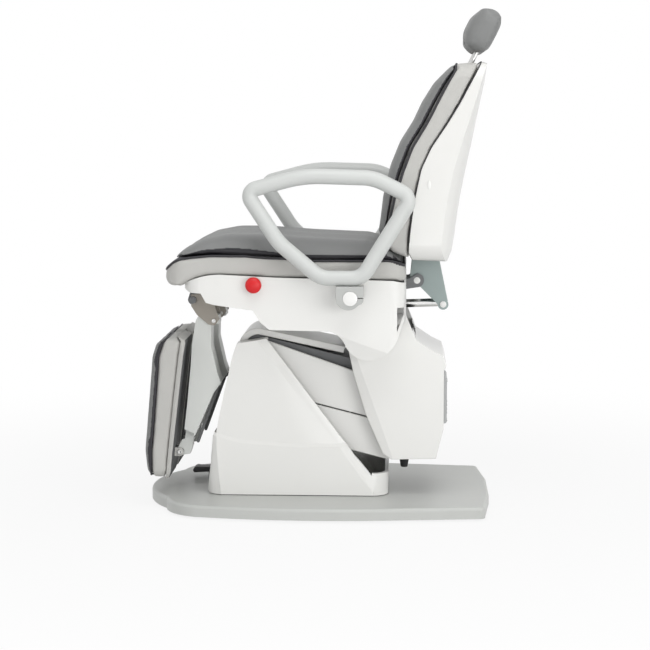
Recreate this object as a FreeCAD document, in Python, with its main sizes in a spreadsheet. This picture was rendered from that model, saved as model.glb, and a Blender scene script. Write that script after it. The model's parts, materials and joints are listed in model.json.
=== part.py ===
import FreeCAD, Part
import math
import os
import Sketcher

# Podiatry chair: a floor plate, a column cover, a parallelogram lift, a tilting seat, a reclining back
# and two leg rests that lift one by one. Millimetres and degrees, +Z up, the front of the chair at -Y.
# The origin lies on the floor under the middle of the column, and +X is the patient's left.

SIZES = {
    # Floor plate and its glides
    "plate_front": -462, "plate_length": 892, "plate_half_width": 310,
    "plate_bottom": 6, "plate_thickness": 30, "plate_skin": 8, "plate_rim": 14, "plate_edge_round": 9,
    "glide_radius": 25, "glide_boss_radius": 32,
    "glide_front": -318, "glide_rear": 350, "glide_front_half": 190, "glide_rear_half": 225,
    # Column cover and the rubber seal under it
    "pedestal_front": -300, "pedestal_length": 468, "pedestal_height": 405,
    "pedestal_half_width": 155, "pedestal_top_half_width": 146, "pedestal_corner": 42,
    "seal_thickness": 2, "seal_inset": 3, "cover_wall": 4,
    "rear_wall_height": 58, "rear_wall_depth": 9, "link_opening_half": 98,
    # Lift pivots on the column, and the length and fall of the two arms at rest
    "arm_pivot_y": -131.5, "arm_pivot_z": 354.4, "arm_reach": 310.5, "arm_drop": 77.4,
    "link_back": 48.5, "link_rise": 65.6, "arm_shaft_radius": 14, "link_shaft_radius": 8,
    "running_gap": 0.05, "side_gap": 2,
    # Steel frame in the column
    "frame_plate": 6, "frame_inner_half": 97, "foot_plate_half": 120, "foot_plate": 8,
    "frame_foot_front": -240, "frame_foot_rear": -20, "pivot_boss": 34, "link_boss": 12,
    "lug": 8, "lug_inner_half": 26, "lug_boss": 15, "pin_radius": 8,
    "lift_pin_y": -200, "lift_pin_z": 80,
    # Lower arm frame and its side covers, laid out along the arm and square to it
    "arm_plate": 8, "arm_plate_half": 84, "arm_depth": 24, "arm_end_radius": 26,
    "arm_lobe_drop": 108, "arm_lobe_start": 236, "arm_lobe_end": 270,
    "lift_lug_along": 170, "lift_lug_drop": 60, "cross_bar_length": 44, "cross_bar_depth": 18,
    "spacer_radius": 9, "cheek_inner_half": 105, "cheek_thickness": 8,
    "cheek_back": -62, "cheek_length": 407, "cheek_drop": 53, "cheek_rise": 128,
    "lower_cheek_start": 60, "lower_cheek_length": 290, "lower_cheek_depth": 94, "cheek_split": 3,
    # Upper link and its cap
    "link_half": 88, "link_wall": 6, "link_drop": 18, "link_top": 28, "link_end_radius": 24,
    "cap_half": 95, "cap_wall": 4, "cap_length": 270, "cap_front": -41, "cap_height": 63, "cap_bottom": -8,
    # Lift actuator
    "lift_tube_radius": 24, "lift_tube_wall": 5.5, "lift_rod_radius": 13, "lift_rod_length": 250,
    "lift_tube_length": 195, "eye_radius": 14, "eye_half": 20,
    # Carriage between the lift and the seat
    "carriage_front": 60, "carriage_length": 255, "carriage_bottom": 132, "carriage_height": 380,
    "carriage_half": 150, "rod_notch_half": 64, "rod_notch_bottom": 446,
    "tilt_pivot_y": 128, "tilt_pivot_z": 478, "tilt_shaft_radius": 11,
    "carriage_plate_rear": 292, "carriage_floor": 6,
    "rear_panel_half": 65, "rear_panel_thickness": 10, "rear_panel_bottom": 213, "rear_panel_height": 122,
    "bumper_y": 209, "bumper_radius": 18, "bumper_tip_radius": 9, "bumper_height": 56,
    # Tilt actuator
    "tilt_base_y": 255, "tilt_base_z": 320, "tilt_eye_y": 170, "tilt_eye_z": 520, "tilt_side": 62,
    "tilt_tube_radius": 17, "tilt_tube_wall": 5, "tilt_rod_radius": 10, "tilt_rod_length": 150,
    "tilt_tube_length": 150, "small_eye_radius": 11, "small_eye_half": 18, "small_pin_radius": 6,
    # Seat frame, housing and cushions
    "rail_inner_half": 106, "rail": 6, "rail_front": -350, "rail_rear": 204, "rail_bottom": 562,
    "rail_top": 590, "board": 6, "board_half": 224, "board_front": -336, "board_length": 540,
    "seat_front": -347, "seat_length": 559, "housing_bottom": 401, "housing_height": 216,
    "seat_half": 245, "housing_wall": 5, "housing_corner": 42, "carriage_room_half": 157,
    "carriage_room_front": 38, "carriage_room_top": 540,
    "nose_front": -398, "border_length": 613, "border_bottom": 583, "border_height": 84,
    "border_corner": 55, "soft_gap": 0.3,
    "top_front": -396, "top_length": 606, "top_bottom": 612, "top_height": 97, "top_inset": 3,
    "cushion_sink": 9,
    # Armrests on one shaft through the seat
    "arm_shaft_y": 74, "arm_shaft_z": 564, "rest_shaft_radius": 18, "rest_shaft_half": 306,
    "rest_side": 285, "rest_tube_radius": 19, "rest_front": -186, "rest_length": 412,
    "rest_bottom": 613, "rest_height": 250, "rest_bend": 20,
    "clamp_front": 38, "clamp_length": 69, "clamp_bottom": 538, "clamp_height": 56, "clamp_half": 19,
    # Emergency stop
    "stop_y": -169, "stop_z": 592, "stop_collar_radius": 16, "stop_collar": 6, "stop_travel": 4,
    "stop_head_radius": 20, "stop_head": 13, "stop_stem_radius": 7, "stop_stem": 26,
    # Back hinge, frame, shell and cushions
    "recline_y": 240, "recline_z": 588, "recline_pin_radius": 8.5, "back_plate_inner": 50,
    "back_plate": 8, "back_ear_inner": 60, "back_ear": 6, "back_ear_radius": 18,
    "back_eye_y": 308, "back_eye_z": 525, "back_tube_y": -60, "back_tube_z": 512,
    "back_tube_radius": 21, "back_tube_wall": 3.5, "back_rod_radius": 11, "back_rod_length": 250,
    "back_tube_length": 170,
    "back_y": 146, "back_depth": 265, "back_z": 647, "back_height": 499,
    "back_half": 225, "shell_wall": 5, "back_corner": 48,
    "post_side": 54, "post_radius": 6, "socket_radius": 9, "post_foot_y": 325, "post_foot_z": 1046,
    "post_run": 50, "post_rise": 100, "post_foot_bore": 2, "socket_length": 90, "post_length": 210,
    "post_seat": 4, "head_along": 136, "head_length": 120, "head_thickness": 70, "head_half": 135, "head_back": 20,
    # Knee, leg arms and leg pads, each leg at the same distance from the middle
    "knee_y": -336, "knee_z": 541, "knee_radius": 9, "knee_lobe": 15, "leg_side": 90,
    "inner_ear_side": 62, "ear": 6, "knee_shaft_half": 45,
    "knee_plate_front": -341, "knee_plate_length": 73, "knee_plate_bottom": 475, "knee_plate_height": 82,
    "knee_plate": 6, "leg_half": 32, "leg_front": -362, "leg_length": 96, "leg_bottom": 184,
    "leg_height": 316,
    "slide_top_y": -311, "slide_top_z": 475, "slide_run": -39, "slide_fall": -284,
    "bar_half": 15, "bar_depth": 11, "bar_start": 95, "bar_end": 322, "slide_gap": 0.4, "slot_start": 70,
    "ankle_y": -376, "ankle_z": 141, "ankle_pin_radius": 6, "ankle_boss": 11, "ankle_lug": 8,
    "leg_pad_front": -459, "leg_pad_depth": 108, "leg_pad_bottom": 77, "leg_pad_height": 377,
    "leg_pad_half": 80, "leg_pad_corner": 26,
    "lever_pin_radius": 4, "lever_pin_y": -274, "lever_pin_z": 318, "lever_length": 162,
    "lever_run": -55, "lever_fall": -150, "lever_half": 4, "lever_slot_half": 6,
    # Foot pedal on the floor plate
    "pedal_side": -90, "pedal_half": 28, "pedal_pin_y": -312, "pedal_pin_z": 58, "pedal_pin_radius": 4,
    "pedal_length": 52, "pedal_thickness": 9,
    # How far a cut runs past what it cuts
    "cut_reach": 900,
}

doc = FreeCAD.newDocument("PodiatryChair")
sheet = doc.addObject("Spreadsheet::Sheet", "Sizes")


class Length:
    """A number with the sheet expression that it comes from."""

    def __init__(self, value, text):
        self.value = value
        self.text = text

    def __add__(self, other):
        return Length(self.value + number(other), f"({self.text} + {wording(other)})")

    def __sub__(self, other):
        return Length(self.value - number(other), f"({self.text} - {wording(other)})")

    def __mul__(self, other):
        return Length(self.value * number(other), f"({self.text} * {wording(other)})")

    def __truediv__(self, other):
        return Length(self.value / number(other), f"({self.text} / {wording(other)})")

    def __neg__(self):
        return Length(-self.value, f"(0 - {self.text})")

    def __radd__(self, other):
        return self + other

    def __rmul__(self, other):
        return self * other


class Sheet:
    """Gives each row of the spreadsheet as a Length, by its alias."""

    def __getattr__(self, alias):
        return Length(float(SIZES[alias]), f"{sheet.Name}.{alias}")


def number(item):
    return item.value if isinstance(item, Length) else float(item)


def wording(item):
    return item.text if isinstance(item, Length) else repr(float(item))


def root(square):
    return Length(math.sqrt(square.value), f"sqrt({square.text})")


def bind(item, field, length):
    """Tie one property to the sheet, or set it where it is a plain number."""
    if isinstance(length, Length):
        item.setExpression(field, length.text)
    else:
        setattr(item, field, float(length))


for row, (alias, value) in enumerate(SIZES.items(), 1):
    sheet.set(f"A{row}", alias)
    sheet.set(f"B{row}", str(value))
    sheet.setAlias(f"B{row}", alias)
doc.recompute()
size = Sheet()
names_used = {}
nodes = []


# Outlines

def lay(shares, start_u, span_u, start_v, span_v):
    """Turn rows of shares into points; four values end an arc through the last two."""
    points = []
    for row in shares:
        point = [start_u + span_u * row[0], start_v + span_v * row[1]]
        if len(row) == 4:
            point += [start_u + span_u * row[2], start_v + span_v * row[3]]
        points.append(tuple(point))
    return points


def backwards(points):
    """The same open outline drawn from its other end."""
    turned = [points[-1][:2]]
    for index in range(len(points) - 1, 0, -1):
        turned.append(points[index - 1][:2] + points[index][2:])
    return turned


def both_sides(half, closing=(), crossing=()):
    """Close a plan outline by adding its mirror image in X; the two middle edges may be arcs."""
    mirrored = []
    for point in backwards(half):
        row = [-point[0], point[1]]
        if len(point) == 4:
            row += [-point[2], point[3]]
        mirrored.append(tuple(row))
    mirrored[0] = mirrored[0] + tuple(crossing)
    return [half[0] + tuple(closing)] + half[1:] + mirrored


def box(low_u, low_v, high_u, high_v):
    return [(low_u, low_v), (high_u, low_v), (high_u, high_v), (low_u, high_v)]


def rounded_box(half_u, low_v, high_v, corner):
    """A plan outline, even about X, with four round corners."""
    knuckle = corner * (1 - math.sqrt(0.5))
    half = [
        (half_u - corner, low_v),
        (half_u, low_v + corner, half_u - knuckle, low_v + knuckle),
        (half_u, high_v - corner),
        (half_u - corner, high_v, half_u - knuckle, high_v - knuckle),
    ]
    return both_sides(half)


def shifted(points, move):
    """The same outline moved along its first axis."""
    moved = []
    for point in points:
        row = [point[0] + move, point[1]]
        if len(point) == 4:
            row += [point[2] + move, point[3]]
        moved.append(tuple(row))
    return moved


def circle(u, v, radius):
    return {"centre": (u, v), "radius": radius}


def on_line(start, end, distance, offset):
    """The point at a distance along the line from start to end, set off to its left."""
    run = end[0] - start[0]
    rise = end[1] - start[1]
    reach = root(run * run + rise * rise)
    return (start[0] + run * distance / reach - rise * offset / reach,
            start[1] + rise * distance / reach + run * offset / reach)


def capsule(start, end, radius):
    """Two round ends joined by straight flanks."""
    reach_u = end[0] - start[0]
    reach_v = end[1] - start[1]
    reach = root(reach_u * reach_u + reach_v * reach_v)
    nought = reach - reach
    return [
        on_line(start, end, nought, -radius),
        on_line(start, end, reach, -radius),
        on_line(start, end, reach, radius) + on_line(start, end, reach + radius, nought),
        on_line(start, end, nought, radius),
    ], on_line(start, end, nought - radius, nought)


def closed_capsule(start, end, radius):
    points, back = capsule(start, end, radius)
    return [points[0] + back] + points[1:]


# Sketches and features

def fresh(stem):
    names_used[stem] = names_used.get(stem, 0) + 1
    return f"{stem}_{names_used[stem]}"


def pin_point(sketch, geometry, corner, u, v):
    """Hold one point of the sketch at its two sheet coordinates."""
    for kind, length in (("DistanceX", u), ("DistanceY", v)):
        row = sketch.addConstraint(Sketcher.Constraint(kind, geometry, corner, number(length)))
        if isinstance(length, Length):
            sketch.setExpression(f"Constraints[{row}]", length.text)


def flat(point):
    return FreeCAD.Vector(number(point[0]), number(point[1]), 0)


def draw_circle(sketch, shape):
    place = flat(shape["centre"])
    ring = Part.Circle(place, FreeCAD.Vector(0, 0, 1), number(shape["radius"]))
    index = sketch.addGeometry(ring, False)
    pin_point(sketch, index, 3, *shape["centre"])
    row = sketch.addConstraint(Sketcher.Constraint("Radius", index, number(shape["radius"])))
    if isinstance(shape["radius"], Length):
        sketch.setExpression(f"Constraints[{row}]", shape["radius"].text)


def draw_outline(sketch, points):
    ends = []
    for index, point in enumerate(points):
        start = flat(points[index - 1])
        end = flat(point)
        if len(point) == 4:
            middle = FreeCAD.Vector(number(point[2]), number(point[3]), 0)
            leftward = (middle - start).cross(end - middle).z > 0
            bow = Part.Arc(start, middle, end) if leftward else Part.Arc(end, middle, start)
            edge = sketch.addGeometry(bow, False)
            ends.append((edge, 1, 2) if leftward else (edge, 2, 1))
            mark = sketch.addGeometry(Part.Point(middle), True)
            pin_point(sketch, mark, 1, point[2], point[3])
            sketch.addConstraint(Sketcher.Constraint("PointOnObject", mark, 1, edge))
        else:
            ends.append((sketch.addGeometry(Part.LineSegment(start, end), False), 1, 2))
    for index, (edge, first, last) in enumerate(ends):
        following, next_first, _ = ends[(index + 1) % len(ends)]
        sketch.addConstraint(Sketcher.Constraint("Coincident", edge, last, following, next_first))
        pin_point(sketch, edge, last, points[index][0], points[index][1])


def sketch_on(body, plane, loops, offset=0):
    """A sketch on one of the body's own planes, moved along the plane's normal."""
    sketch = body.newObject("Sketcher::SketchObject", fresh("outline"))
    face = [item for item in body.Origin.OriginFeatures if item.Role == f"{plane}_Plane"][0]
    sketch.AttachmentSupport = [(face, "")]
    sketch.MapMode = "FlatFace"
    if plane == "XZ":
        offset = offset * -1
    if isinstance(offset, Length):
        sketch.setExpression("AttachmentOffset.Base.z", offset.text)
    for loop in loops:
        if isinstance(loop, dict):
            draw_circle(sketch, loop)
        else:
            draw_outline(sketch, loop)
    return sketch


def pad(body, plane, loops, width, centre=0):
    """Material on both sides of a plane that lies at the given centre."""
    feature = body.newObject("PartDesign::Pad", fresh("pad"))
    feature.Profile = sketch_on(body, plane, loops, centre)
    feature.Midplane = True
    bind(feature, "Length", width)
    return feature


def cut(body, plane, loops, width, centre=0):
    """A through cut on both sides of a plane that lies at the given centre."""
    feature = body.newObject("PartDesign::Pocket", fresh("cut"))
    feature.Profile = sketch_on(body, plane, loops, centre)
    feature.Midplane = True
    bind(feature, "Length", width)
    return feature


def trim(body, plane, outline):
    """Keep only what lies within the outline, seen square to the plane."""
    far = size.cut_reach * 2
    return cut(body, plane, [box(-far, -far, far, far), outline], far)


def turn_solid(body, outline):
    """A turned piece about the body's own Y axis, drawn as radius and distance."""
    feature = body.newObject("PartDesign::Revolution", fresh("turned"))
    sketch = sketch_on(body, "XY", [outline])
    feature.Profile = sketch
    feature.ReferenceAxis = (sketch, ["V_Axis"])
    feature.Angle = 360
    return feature


def loft(body, plane, sections, kind="Additive"):
    """A smooth skin through outlines at their places along the plane's normal."""
    sketches = [sketch_on(body, plane, [outline], offset) for offset, outline in sections]
    feature = body.newObject(f"PartDesign::{kind}Loft", fresh("loft"))
    feature.Profile = sketches[0]
    feature.Sections = sketches[1:]
    feature.Ruled = False
    return feature


def round_edges(body, radius, chosen):
    """Fillet the edges that the test picks from the body as it stands."""
    doc.recompute()
    base = body.Tip
    picked = [f"Edge{count}" for count, edge in enumerate(base.Shape.Edges, 1) if chosen(edge.BoundBox)]
    feature = body.newObject("PartDesign::Fillet", fresh("round"))
    feature.Base = (base, picked)
    bind(feature, "Radius", radius)
    return feature


def near(value, length):
    return abs(value - number(length)) < number(size.running_gap)


def at_height(length):
    return lambda bounds: near(bounds.ZMin, length) and near(bounds.ZMax, length)


def new_body(label):
    body = doc.addObject("PartDesign::Body", label)
    body.Label = label
    return body


def keep(item, label=None):
    """Count an object as a finished sub-part."""
    if label:
        item.Label = label
    nodes.append(item)
    return item


def less(label, whole, taken):
    """A sub-part that gives way to another where the two would meet."""
    doc.recompute()
    rest = doc.addObject("Part::Cut", label)
    rest.Base = whole
    rest.Tool = taken
    return keep(rest, label)


def group(label, members):
    """One node of alike pieces."""
    doc.recompute()
    joined = doc.addObject("Part::Compound", label)
    joined.Links = members
    return keep(joined, label)


def aim(body, side, start, end):
    """Set a body at the start point, with its Y axis towards the end point, in the plane X = side."""
    body.Placement = FreeCAD.Placement(FreeCAD.Vector(), FreeCAD.Rotation(FreeCAD.Vector(1, 0, 0), 1))
    for axis, length in (("x", side), ("y", start[0]), ("z", start[1])):
        if isinstance(length, Length):
            body.setExpression(f"Placement.Base.{axis}", length.text)
    run = end[0] - start[0]
    rise = end[1] - start[1]
    body.setExpression("Placement.Rotation.Angle", f"atan2({rise.text}; {run.text})")


NOUGHT = size.running_gap - size.running_gap
plate_top = size.plate_bottom + size.plate_thickness
cover_bottom = plate_top + size.seal_thickness


# Floor plate: a shallow casting, hollow below, wider behind the column than in front

plate_half_shares = [
    (0.58, 0.067), (0.903, 0.164, 0.79, 0.101), (0.952, 0.742, 1, 0.462), (0.877, 0.964),
    (0.813, 0.982, 0.86, 0.977), (0.306, 1),
]


def plate_plan(inset):
    half_width = size.plate_half_width - inset
    start = size.plate_front + inset
    length = size.plate_length - inset * 2
    half = lay(plate_half_shares, NOUGHT, half_width, start, length)
    return both_sides(half, closing=(NOUGHT, start))


glide_places = [(side * half, along) for along, half in (
    (size.glide_front, size.glide_front_half), (size.glide_rear, size.glide_rear_half)) for side in (-1, 1)]
glide_places.append((NOUGHT, NOUGHT))

base_plate = new_body("base_plate")
pad(base_plate, "XY", [plate_plan(NOUGHT)], size.plate_thickness, size.plate_bottom + size.plate_thickness / 2)
round_edges(base_plate, size.plate_edge_round, at_height(plate_top))
cut(base_plate, "XY", [plate_plan(size.plate_rim)], (size.plate_thickness - size.plate_skin) * 2,
    size.plate_bottom)
for glide_x, glide_y in glide_places:
    pad(base_plate, "XY", [circle(glide_x, glide_y, size.glide_boss_radius)],
        size.plate_thickness - size.plate_skin,
        size.plate_bottom + (size.plate_thickness - size.plate_skin) / 2)
keep(base_plate)

glides = []
for glide_x, glide_y in glide_places:
    glide = new_body("glide")
    pad(glide, "XY", [circle(glide_x, glide_y, size.glide_radius)], size.plate_bottom, size.plate_bottom / 2)
    glides.append(glide)
group("base_glides", glides)


# Column cover: side cheeks that slope down to the rear, a front wall, narrow shoulders beside the link
# opening and a low rear wall

pedestal_side_shares = [
    (0, 0), (0.122, 0.785, 0.047, 0.375), (0.167, 0.97, 0.147, 0.906), (0.327, 1),
    (0.355, 0.958), (0.816, 0.252), (0.979, 0.03, 0.906, 0.133), (1, 0),
]
pedestal_hollow_shares = [
    (0.036, 0.143), (0.132, 0.785, 0.076, 0.42), (0.179, 0.955, 0.158, 0.9), (0.337, 0.989),
    (0.37, 1.2), (1.2, 1.2), (1.2, 0.143),
]
pedestal_end = size.pedestal_front + size.pedestal_length
pedestal_side = lay(pedestal_side_shares, size.pedestal_front, size.pedestal_length,
                    cover_bottom, size.pedestal_height)
pedestal_hollow = lay(pedestal_hollow_shares, size.pedestal_front, size.pedestal_length,
                      cover_bottom, size.pedestal_height)
pedestal_top = cover_bottom + size.pedestal_height
pedestal_cover = new_body("pedestal_cover")
pad(pedestal_cover, "YZ", [pedestal_side], size.pedestal_half_width * 2)
pad(pedestal_cover, "YZ", [box(pedestal_end - size.pedestal_corner, cover_bottom,
                               pedestal_end, cover_bottom + size.rear_wall_height)],
    size.pedestal_half_width * 2)
trim(pedestal_cover, "XZ", [(-size.pedestal_half_width, cover_bottom), (size.pedestal_half_width, cover_bottom),
                            (size.pedestal_top_half_width, pedestal_top),
                            (-size.pedestal_top_half_width, pedestal_top)])
trim(pedestal_cover, "XY", rounded_box(size.pedestal_half_width, size.pedestal_front, pedestal_end,
                                       size.pedestal_corner))
pedestal_room_half = size.pedestal_top_half_width - size.cover_wall
cut(pedestal_cover, "YZ", [pedestal_hollow], pedestal_room_half * 2)
cut(pedestal_cover, "XY", [rounded_box(pedestal_room_half, size.pedestal_front + size.cover_wall * 4,
                                       pedestal_end - size.rear_wall_depth,
                                       size.pedestal_corner - size.rear_wall_depth)],
    size.rear_wall_height * 2, cover_bottom)
link_opening_shares = [(0.157, 0.9), (0.5, 0.9), (0.5, 1.2), (0.157, 1.2)]
cut(pedestal_cover, "YZ", [lay(link_opening_shares, size.pedestal_front, size.pedestal_length,
                               cover_bottom, size.pedestal_height)], size.link_opening_half * 2)
keep(pedestal_cover)

pedestal_seal = new_body("pedestal_seal")
pad(pedestal_seal, "XY", [rounded_box(size.pedestal_half_width - size.seal_inset,
                                      size.pedestal_front + size.seal_inset,
                                      pedestal_end - size.seal_inset, size.pedestal_corner),
                          rounded_box(size.pedestal_half_width - size.seal_inset * 4,
                                      size.pedestal_front + size.seal_inset * 4,
                                      pedestal_end - size.seal_inset * 4, size.pedestal_corner)],
    size.seal_thickness, plate_top + size.seal_thickness / 2)
keep(pedestal_seal)


# Pivots of the lift: the lower arm and the link keep the carriage level

arm_foot = (size.arm_pivot_y, size.arm_pivot_z)
arm_head = (size.arm_pivot_y + size.arm_reach, size.arm_pivot_z - size.arm_drop)
link_foot = (size.arm_pivot_y - size.link_back, size.arm_pivot_z + size.link_rise)
link_head = (arm_head[0] - size.link_back, arm_head[1] + size.link_rise)
arm_span = root(size.arm_reach * size.arm_reach + size.arm_drop * size.arm_drop)
lift_pin = (size.lift_pin_y, size.lift_pin_z)


def by_arm(distance, offset):
    """A place given along the lower arm from its foot and square above it."""
    return on_line(arm_foot, arm_head, distance, offset)


def by_link(distance, offset):
    return on_line(link_foot, link_head, distance, offset)


# Steel frame in the column: a foot plate, two uprights and the lugs of the lift actuator

foot_top = plate_top + size.foot_plate
upright_back_share = 0.62
upright_top = link_foot[1] + size.link_shaft_radius + size.side_gap
upright = [
    (size.frame_foot_front, foot_top),
    (size.frame_foot_rear, foot_top),
    (size.arm_pivot_y + size.pivot_boss, size.arm_pivot_z - size.pivot_boss),
    (size.arm_pivot_y + size.pivot_boss, size.arm_pivot_z + size.pivot_boss * upright_back_share),
    (link_foot[0] + size.link_boss, upright_top),
    (link_foot[0], upright_top),
    (link_foot[0] - size.link_boss, link_foot[1] + size.link_boss * upright_back_share),
    (link_foot[0] - size.link_boss - size.link_shaft_radius, link_foot[1] - size.link_boss),
]
upright_centre = size.frame_inner_half + size.frame_plate / 2
lug_centre = size.lug_inner_half + size.lug / 2
pedestal_frame = new_body("pedestal_frame")
pad(pedestal_frame, "XY", [box(-size.foot_plate_half, size.frame_foot_front, size.foot_plate_half,
                               size.frame_foot_rear)], size.foot_plate, plate_top + size.foot_plate / 2)
for side in (-1, 1):
    pad(pedestal_frame, "YZ", [upright], size.frame_plate, upright_centre * side)
    pad(pedestal_frame, "YZ", [box(lift_pin[0] - size.lug_boss, foot_top, lift_pin[0] + size.lug_boss,
                                   lift_pin[1] + size.lug_boss)], size.lug, lug_centre * side)
cut(pedestal_frame, "YZ", [circle(*arm_foot, size.arm_shaft_radius)], size.cut_reach)
cut(pedestal_frame, "YZ", [circle(*link_foot, size.link_shaft_radius)], size.cut_reach)
cut(pedestal_frame, "YZ", [circle(*lift_pin, size.pin_radius)], size.cut_reach)
keep(pedestal_frame)


def shaft(place, radius, length, side=0):
    piece = new_body("shaft")
    pad(piece, "YZ", [circle(place[0], place[1], radius)], length, side)
    return piece


frame_outer = (size.frame_inner_half + size.frame_plate) * 2
lug_outer = (size.lug_inner_half + size.lug) * 2
group("pedestal_shafts", [
    shaft(arm_foot, size.arm_shaft_radius, frame_outer),
    shaft(link_foot, size.link_shaft_radius, frame_outer),
    shaft(lift_pin, size.pin_radius, lug_outer),
])


# Foot pedal and its bracket on the floor plate, in front of the column

pedal_pin = (size.pedal_pin_y, size.pedal_pin_z)
pedal_boss = size.pedal_pin_radius * 2
foot_pedal_mount = new_body("foot_pedal_mount")
mount_outline = [
    (pedal_pin[0] - pedal_boss, plate_top), (pedal_pin[0] + pedal_boss * 1.4, plate_top),
    (pedal_pin[0] + pedal_boss, pedal_pin[1] + pedal_boss), (pedal_pin[0] - pedal_boss, pedal_pin[1] + pedal_boss),
]
pad(foot_pedal_mount, "YZ", [mount_outline], size.pedal_half * 2, size.pedal_side)
pedal_slot = size.pedal_half - size.pedal_pin_radius - size.side_gap
cut(foot_pedal_mount, "YZ", [box(pedal_pin[0] - size.cut_reach, plate_top + size.pedal_pin_radius,
                                 pedal_pin[0] + pedal_boss + size.side_gap, pedal_pin[1] + size.cut_reach)],
    pedal_slot * 2, size.pedal_side)
pad(foot_pedal_mount, "YZ", [circle(*pedal_pin, size.pedal_pin_radius)], size.pedal_half * 2, size.pedal_side)
keep(foot_pedal_mount)

foot_pedal = new_body("foot_pedal")
pedal_hub = size.pedal_pin_radius + size.side_gap
tread_drop_share = 0.5
tread = [
    (pedal_pin[0] + pedal_hub * 0.5, pedal_pin[1] - pedal_hub),
    (pedal_pin[0] + pedal_hub * 0.5, pedal_pin[1] + pedal_hub),
    (pedal_pin[0] - size.pedal_length * 0.7, pedal_pin[1] + pedal_hub),
    (pedal_pin[0] - size.pedal_length, pedal_pin[1] - pedal_hub * tread_drop_share,
     pedal_pin[0] - size.pedal_length * 0.93, pedal_pin[1] + pedal_hub * 0.6),
    (pedal_pin[0] - size.pedal_length * 0.93, pedal_pin[1] - size.pedal_thickness),
]
pad(foot_pedal, "YZ", [tread], (pedal_slot - size.side_gap) * 2, size.pedal_side)
cut(foot_pedal, "YZ", [circle(*pedal_pin, size.pedal_pin_radius + size.running_gap)], size.cut_reach,
    size.pedal_side)
keep(foot_pedal)


# Lower arm: two plates with bars between them, lugs for the actuator and spacers for the covers

arm_frame_outline = [
    by_arm(NOUGHT, -size.arm_end_radius) + by_arm(-size.arm_end_radius, NOUGHT),
    by_arm(size.arm_lobe_start - size.arm_lobe_drop, -size.arm_depth),
    by_arm(size.lift_lug_along - size.lug_boss, -size.arm_lobe_drop * 0.75),
    by_arm(size.lift_lug_along + size.lug_boss, -size.arm_lobe_drop * 0.75),
    by_arm(size.arm_lobe_start - size.lug_boss, -size.arm_lobe_drop * 0.5),
    by_arm(size.arm_lobe_start, -size.arm_lobe_drop),
    by_arm(size.arm_lobe_end, -size.arm_lobe_drop),
    by_arm(size.arm_lobe_end + size.lug_boss, -size.arm_depth),
    by_arm(arm_span, -size.arm_end_radius),
    by_arm(arm_span, size.arm_end_radius) + by_arm(arm_span + size.arm_end_radius, NOUGHT),
    by_arm(arm_span / 2, size.arm_depth),
    by_arm(NOUGHT, size.arm_end_radius),
]
arm_plate_centre = size.arm_plate_half + size.arm_plate / 2
lift_eye = by_arm(size.lift_lug_along, -size.lift_lug_drop)


def bar_between(distance):
    half = size.cross_bar_length / 2
    return [by_arm(distance - half, -size.cross_bar_depth), by_arm(distance + half, -size.cross_bar_depth),
            by_arm(distance + half, NOUGHT), by_arm(distance - half, NOUGHT)]


spacer_spots = [
    by_arm(arm_span * 0.47, NOUGHT), by_arm(arm_span * 0.75, size.arm_depth / 4),
    by_arm(size.lift_lug_along, -size.arm_lobe_drop * 0.63), by_arm(size.arm_lobe_end - size.lug_boss,
                                                                   -size.arm_lobe_drop * 0.86),
]
spacer_length = size.cheek_inner_half - size.arm_plate_half
lift_arm_frame = new_body("lift_arm_frame")
for side in (-1, 1):
    pad(lift_arm_frame, "YZ", [arm_frame_outline], size.arm_plate, arm_plate_centre * side)
bar_width = size.arm_plate_half * 2 + size.arm_plate
pad(lift_arm_frame, "YZ", [bar_between(size.lift_lug_along)], bar_width)
pad(lift_arm_frame, "YZ", [bar_between(size.lift_lug_along - size.cross_bar_length * 2)], bar_width)
lift_lug = [
    by_arm(size.lift_lug_along - size.lug_boss, -size.cross_bar_depth / 2),
    by_arm(size.lift_lug_along - size.lug_boss, -size.lift_lug_drop),
    by_arm(size.lift_lug_along + size.lug_boss, -size.lift_lug_drop)
    + by_arm(size.lift_lug_along, -size.lift_lug_drop - size.lug_boss),
    by_arm(size.lift_lug_along + size.lug_boss, -size.cross_bar_depth / 2),
]
for side in (-1, 1):
    pad(lift_arm_frame, "YZ", [lift_lug], size.lug, lug_centre * side)
    for spot in spacer_spots:
        pad(lift_arm_frame, "YZ", [circle(*spot, size.spacer_radius)], spacer_length,
            (size.arm_plate_half + spacer_length / 2) * side)
cut(lift_arm_frame, "YZ", [circle(*arm_foot, size.arm_shaft_radius + size.running_gap)], size.cut_reach)
cut(lift_arm_frame, "YZ", [circle(*arm_head, size.arm_shaft_radius + size.running_gap)], size.cut_reach)
pad(lift_arm_frame, "YZ", [circle(*lift_eye, size.pin_radius)], lug_outer)
keep(lift_arm_frame)


# Side covers of the lower arm: an upper and a lower panel on each side, with a split line between

upper_cheek_shares = [
    (0.0, 0.06), (0.055, 0), (0.88, 0), (1, 0.18), (1, 0.57), (0.865, 0.775),
    (0.625, 0.845), (0.062, 1), (0.0, 0.6, 0.02, 0.85),
]
lower_cheek_shares = [
    (0, 1), (0.448, 0.1), (0.628, 0.0), (0.98, 0), (1, 0.05), (0.9, 1),
]


def along_arm(shares, start, span, low, rise):
    points = []
    for row in shares:
        point = by_arm(start + span * row[0], low + rise * row[1])
        if len(row) == 4:
            point += by_arm(start + span * row[2], low + rise * row[3])
        points.append(point)
    return points


def both_cheeks(label, outline):
    centre = size.cheek_inner_half + size.cheek_thickness / 2
    cheeks = []
    for side in (-1, 1):
        cheek = new_body("cheek")
        pad(cheek, "YZ", [outline], size.cheek_thickness, centre * side)
        cheeks.append(cheek)
    group(label, cheeks)


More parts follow.
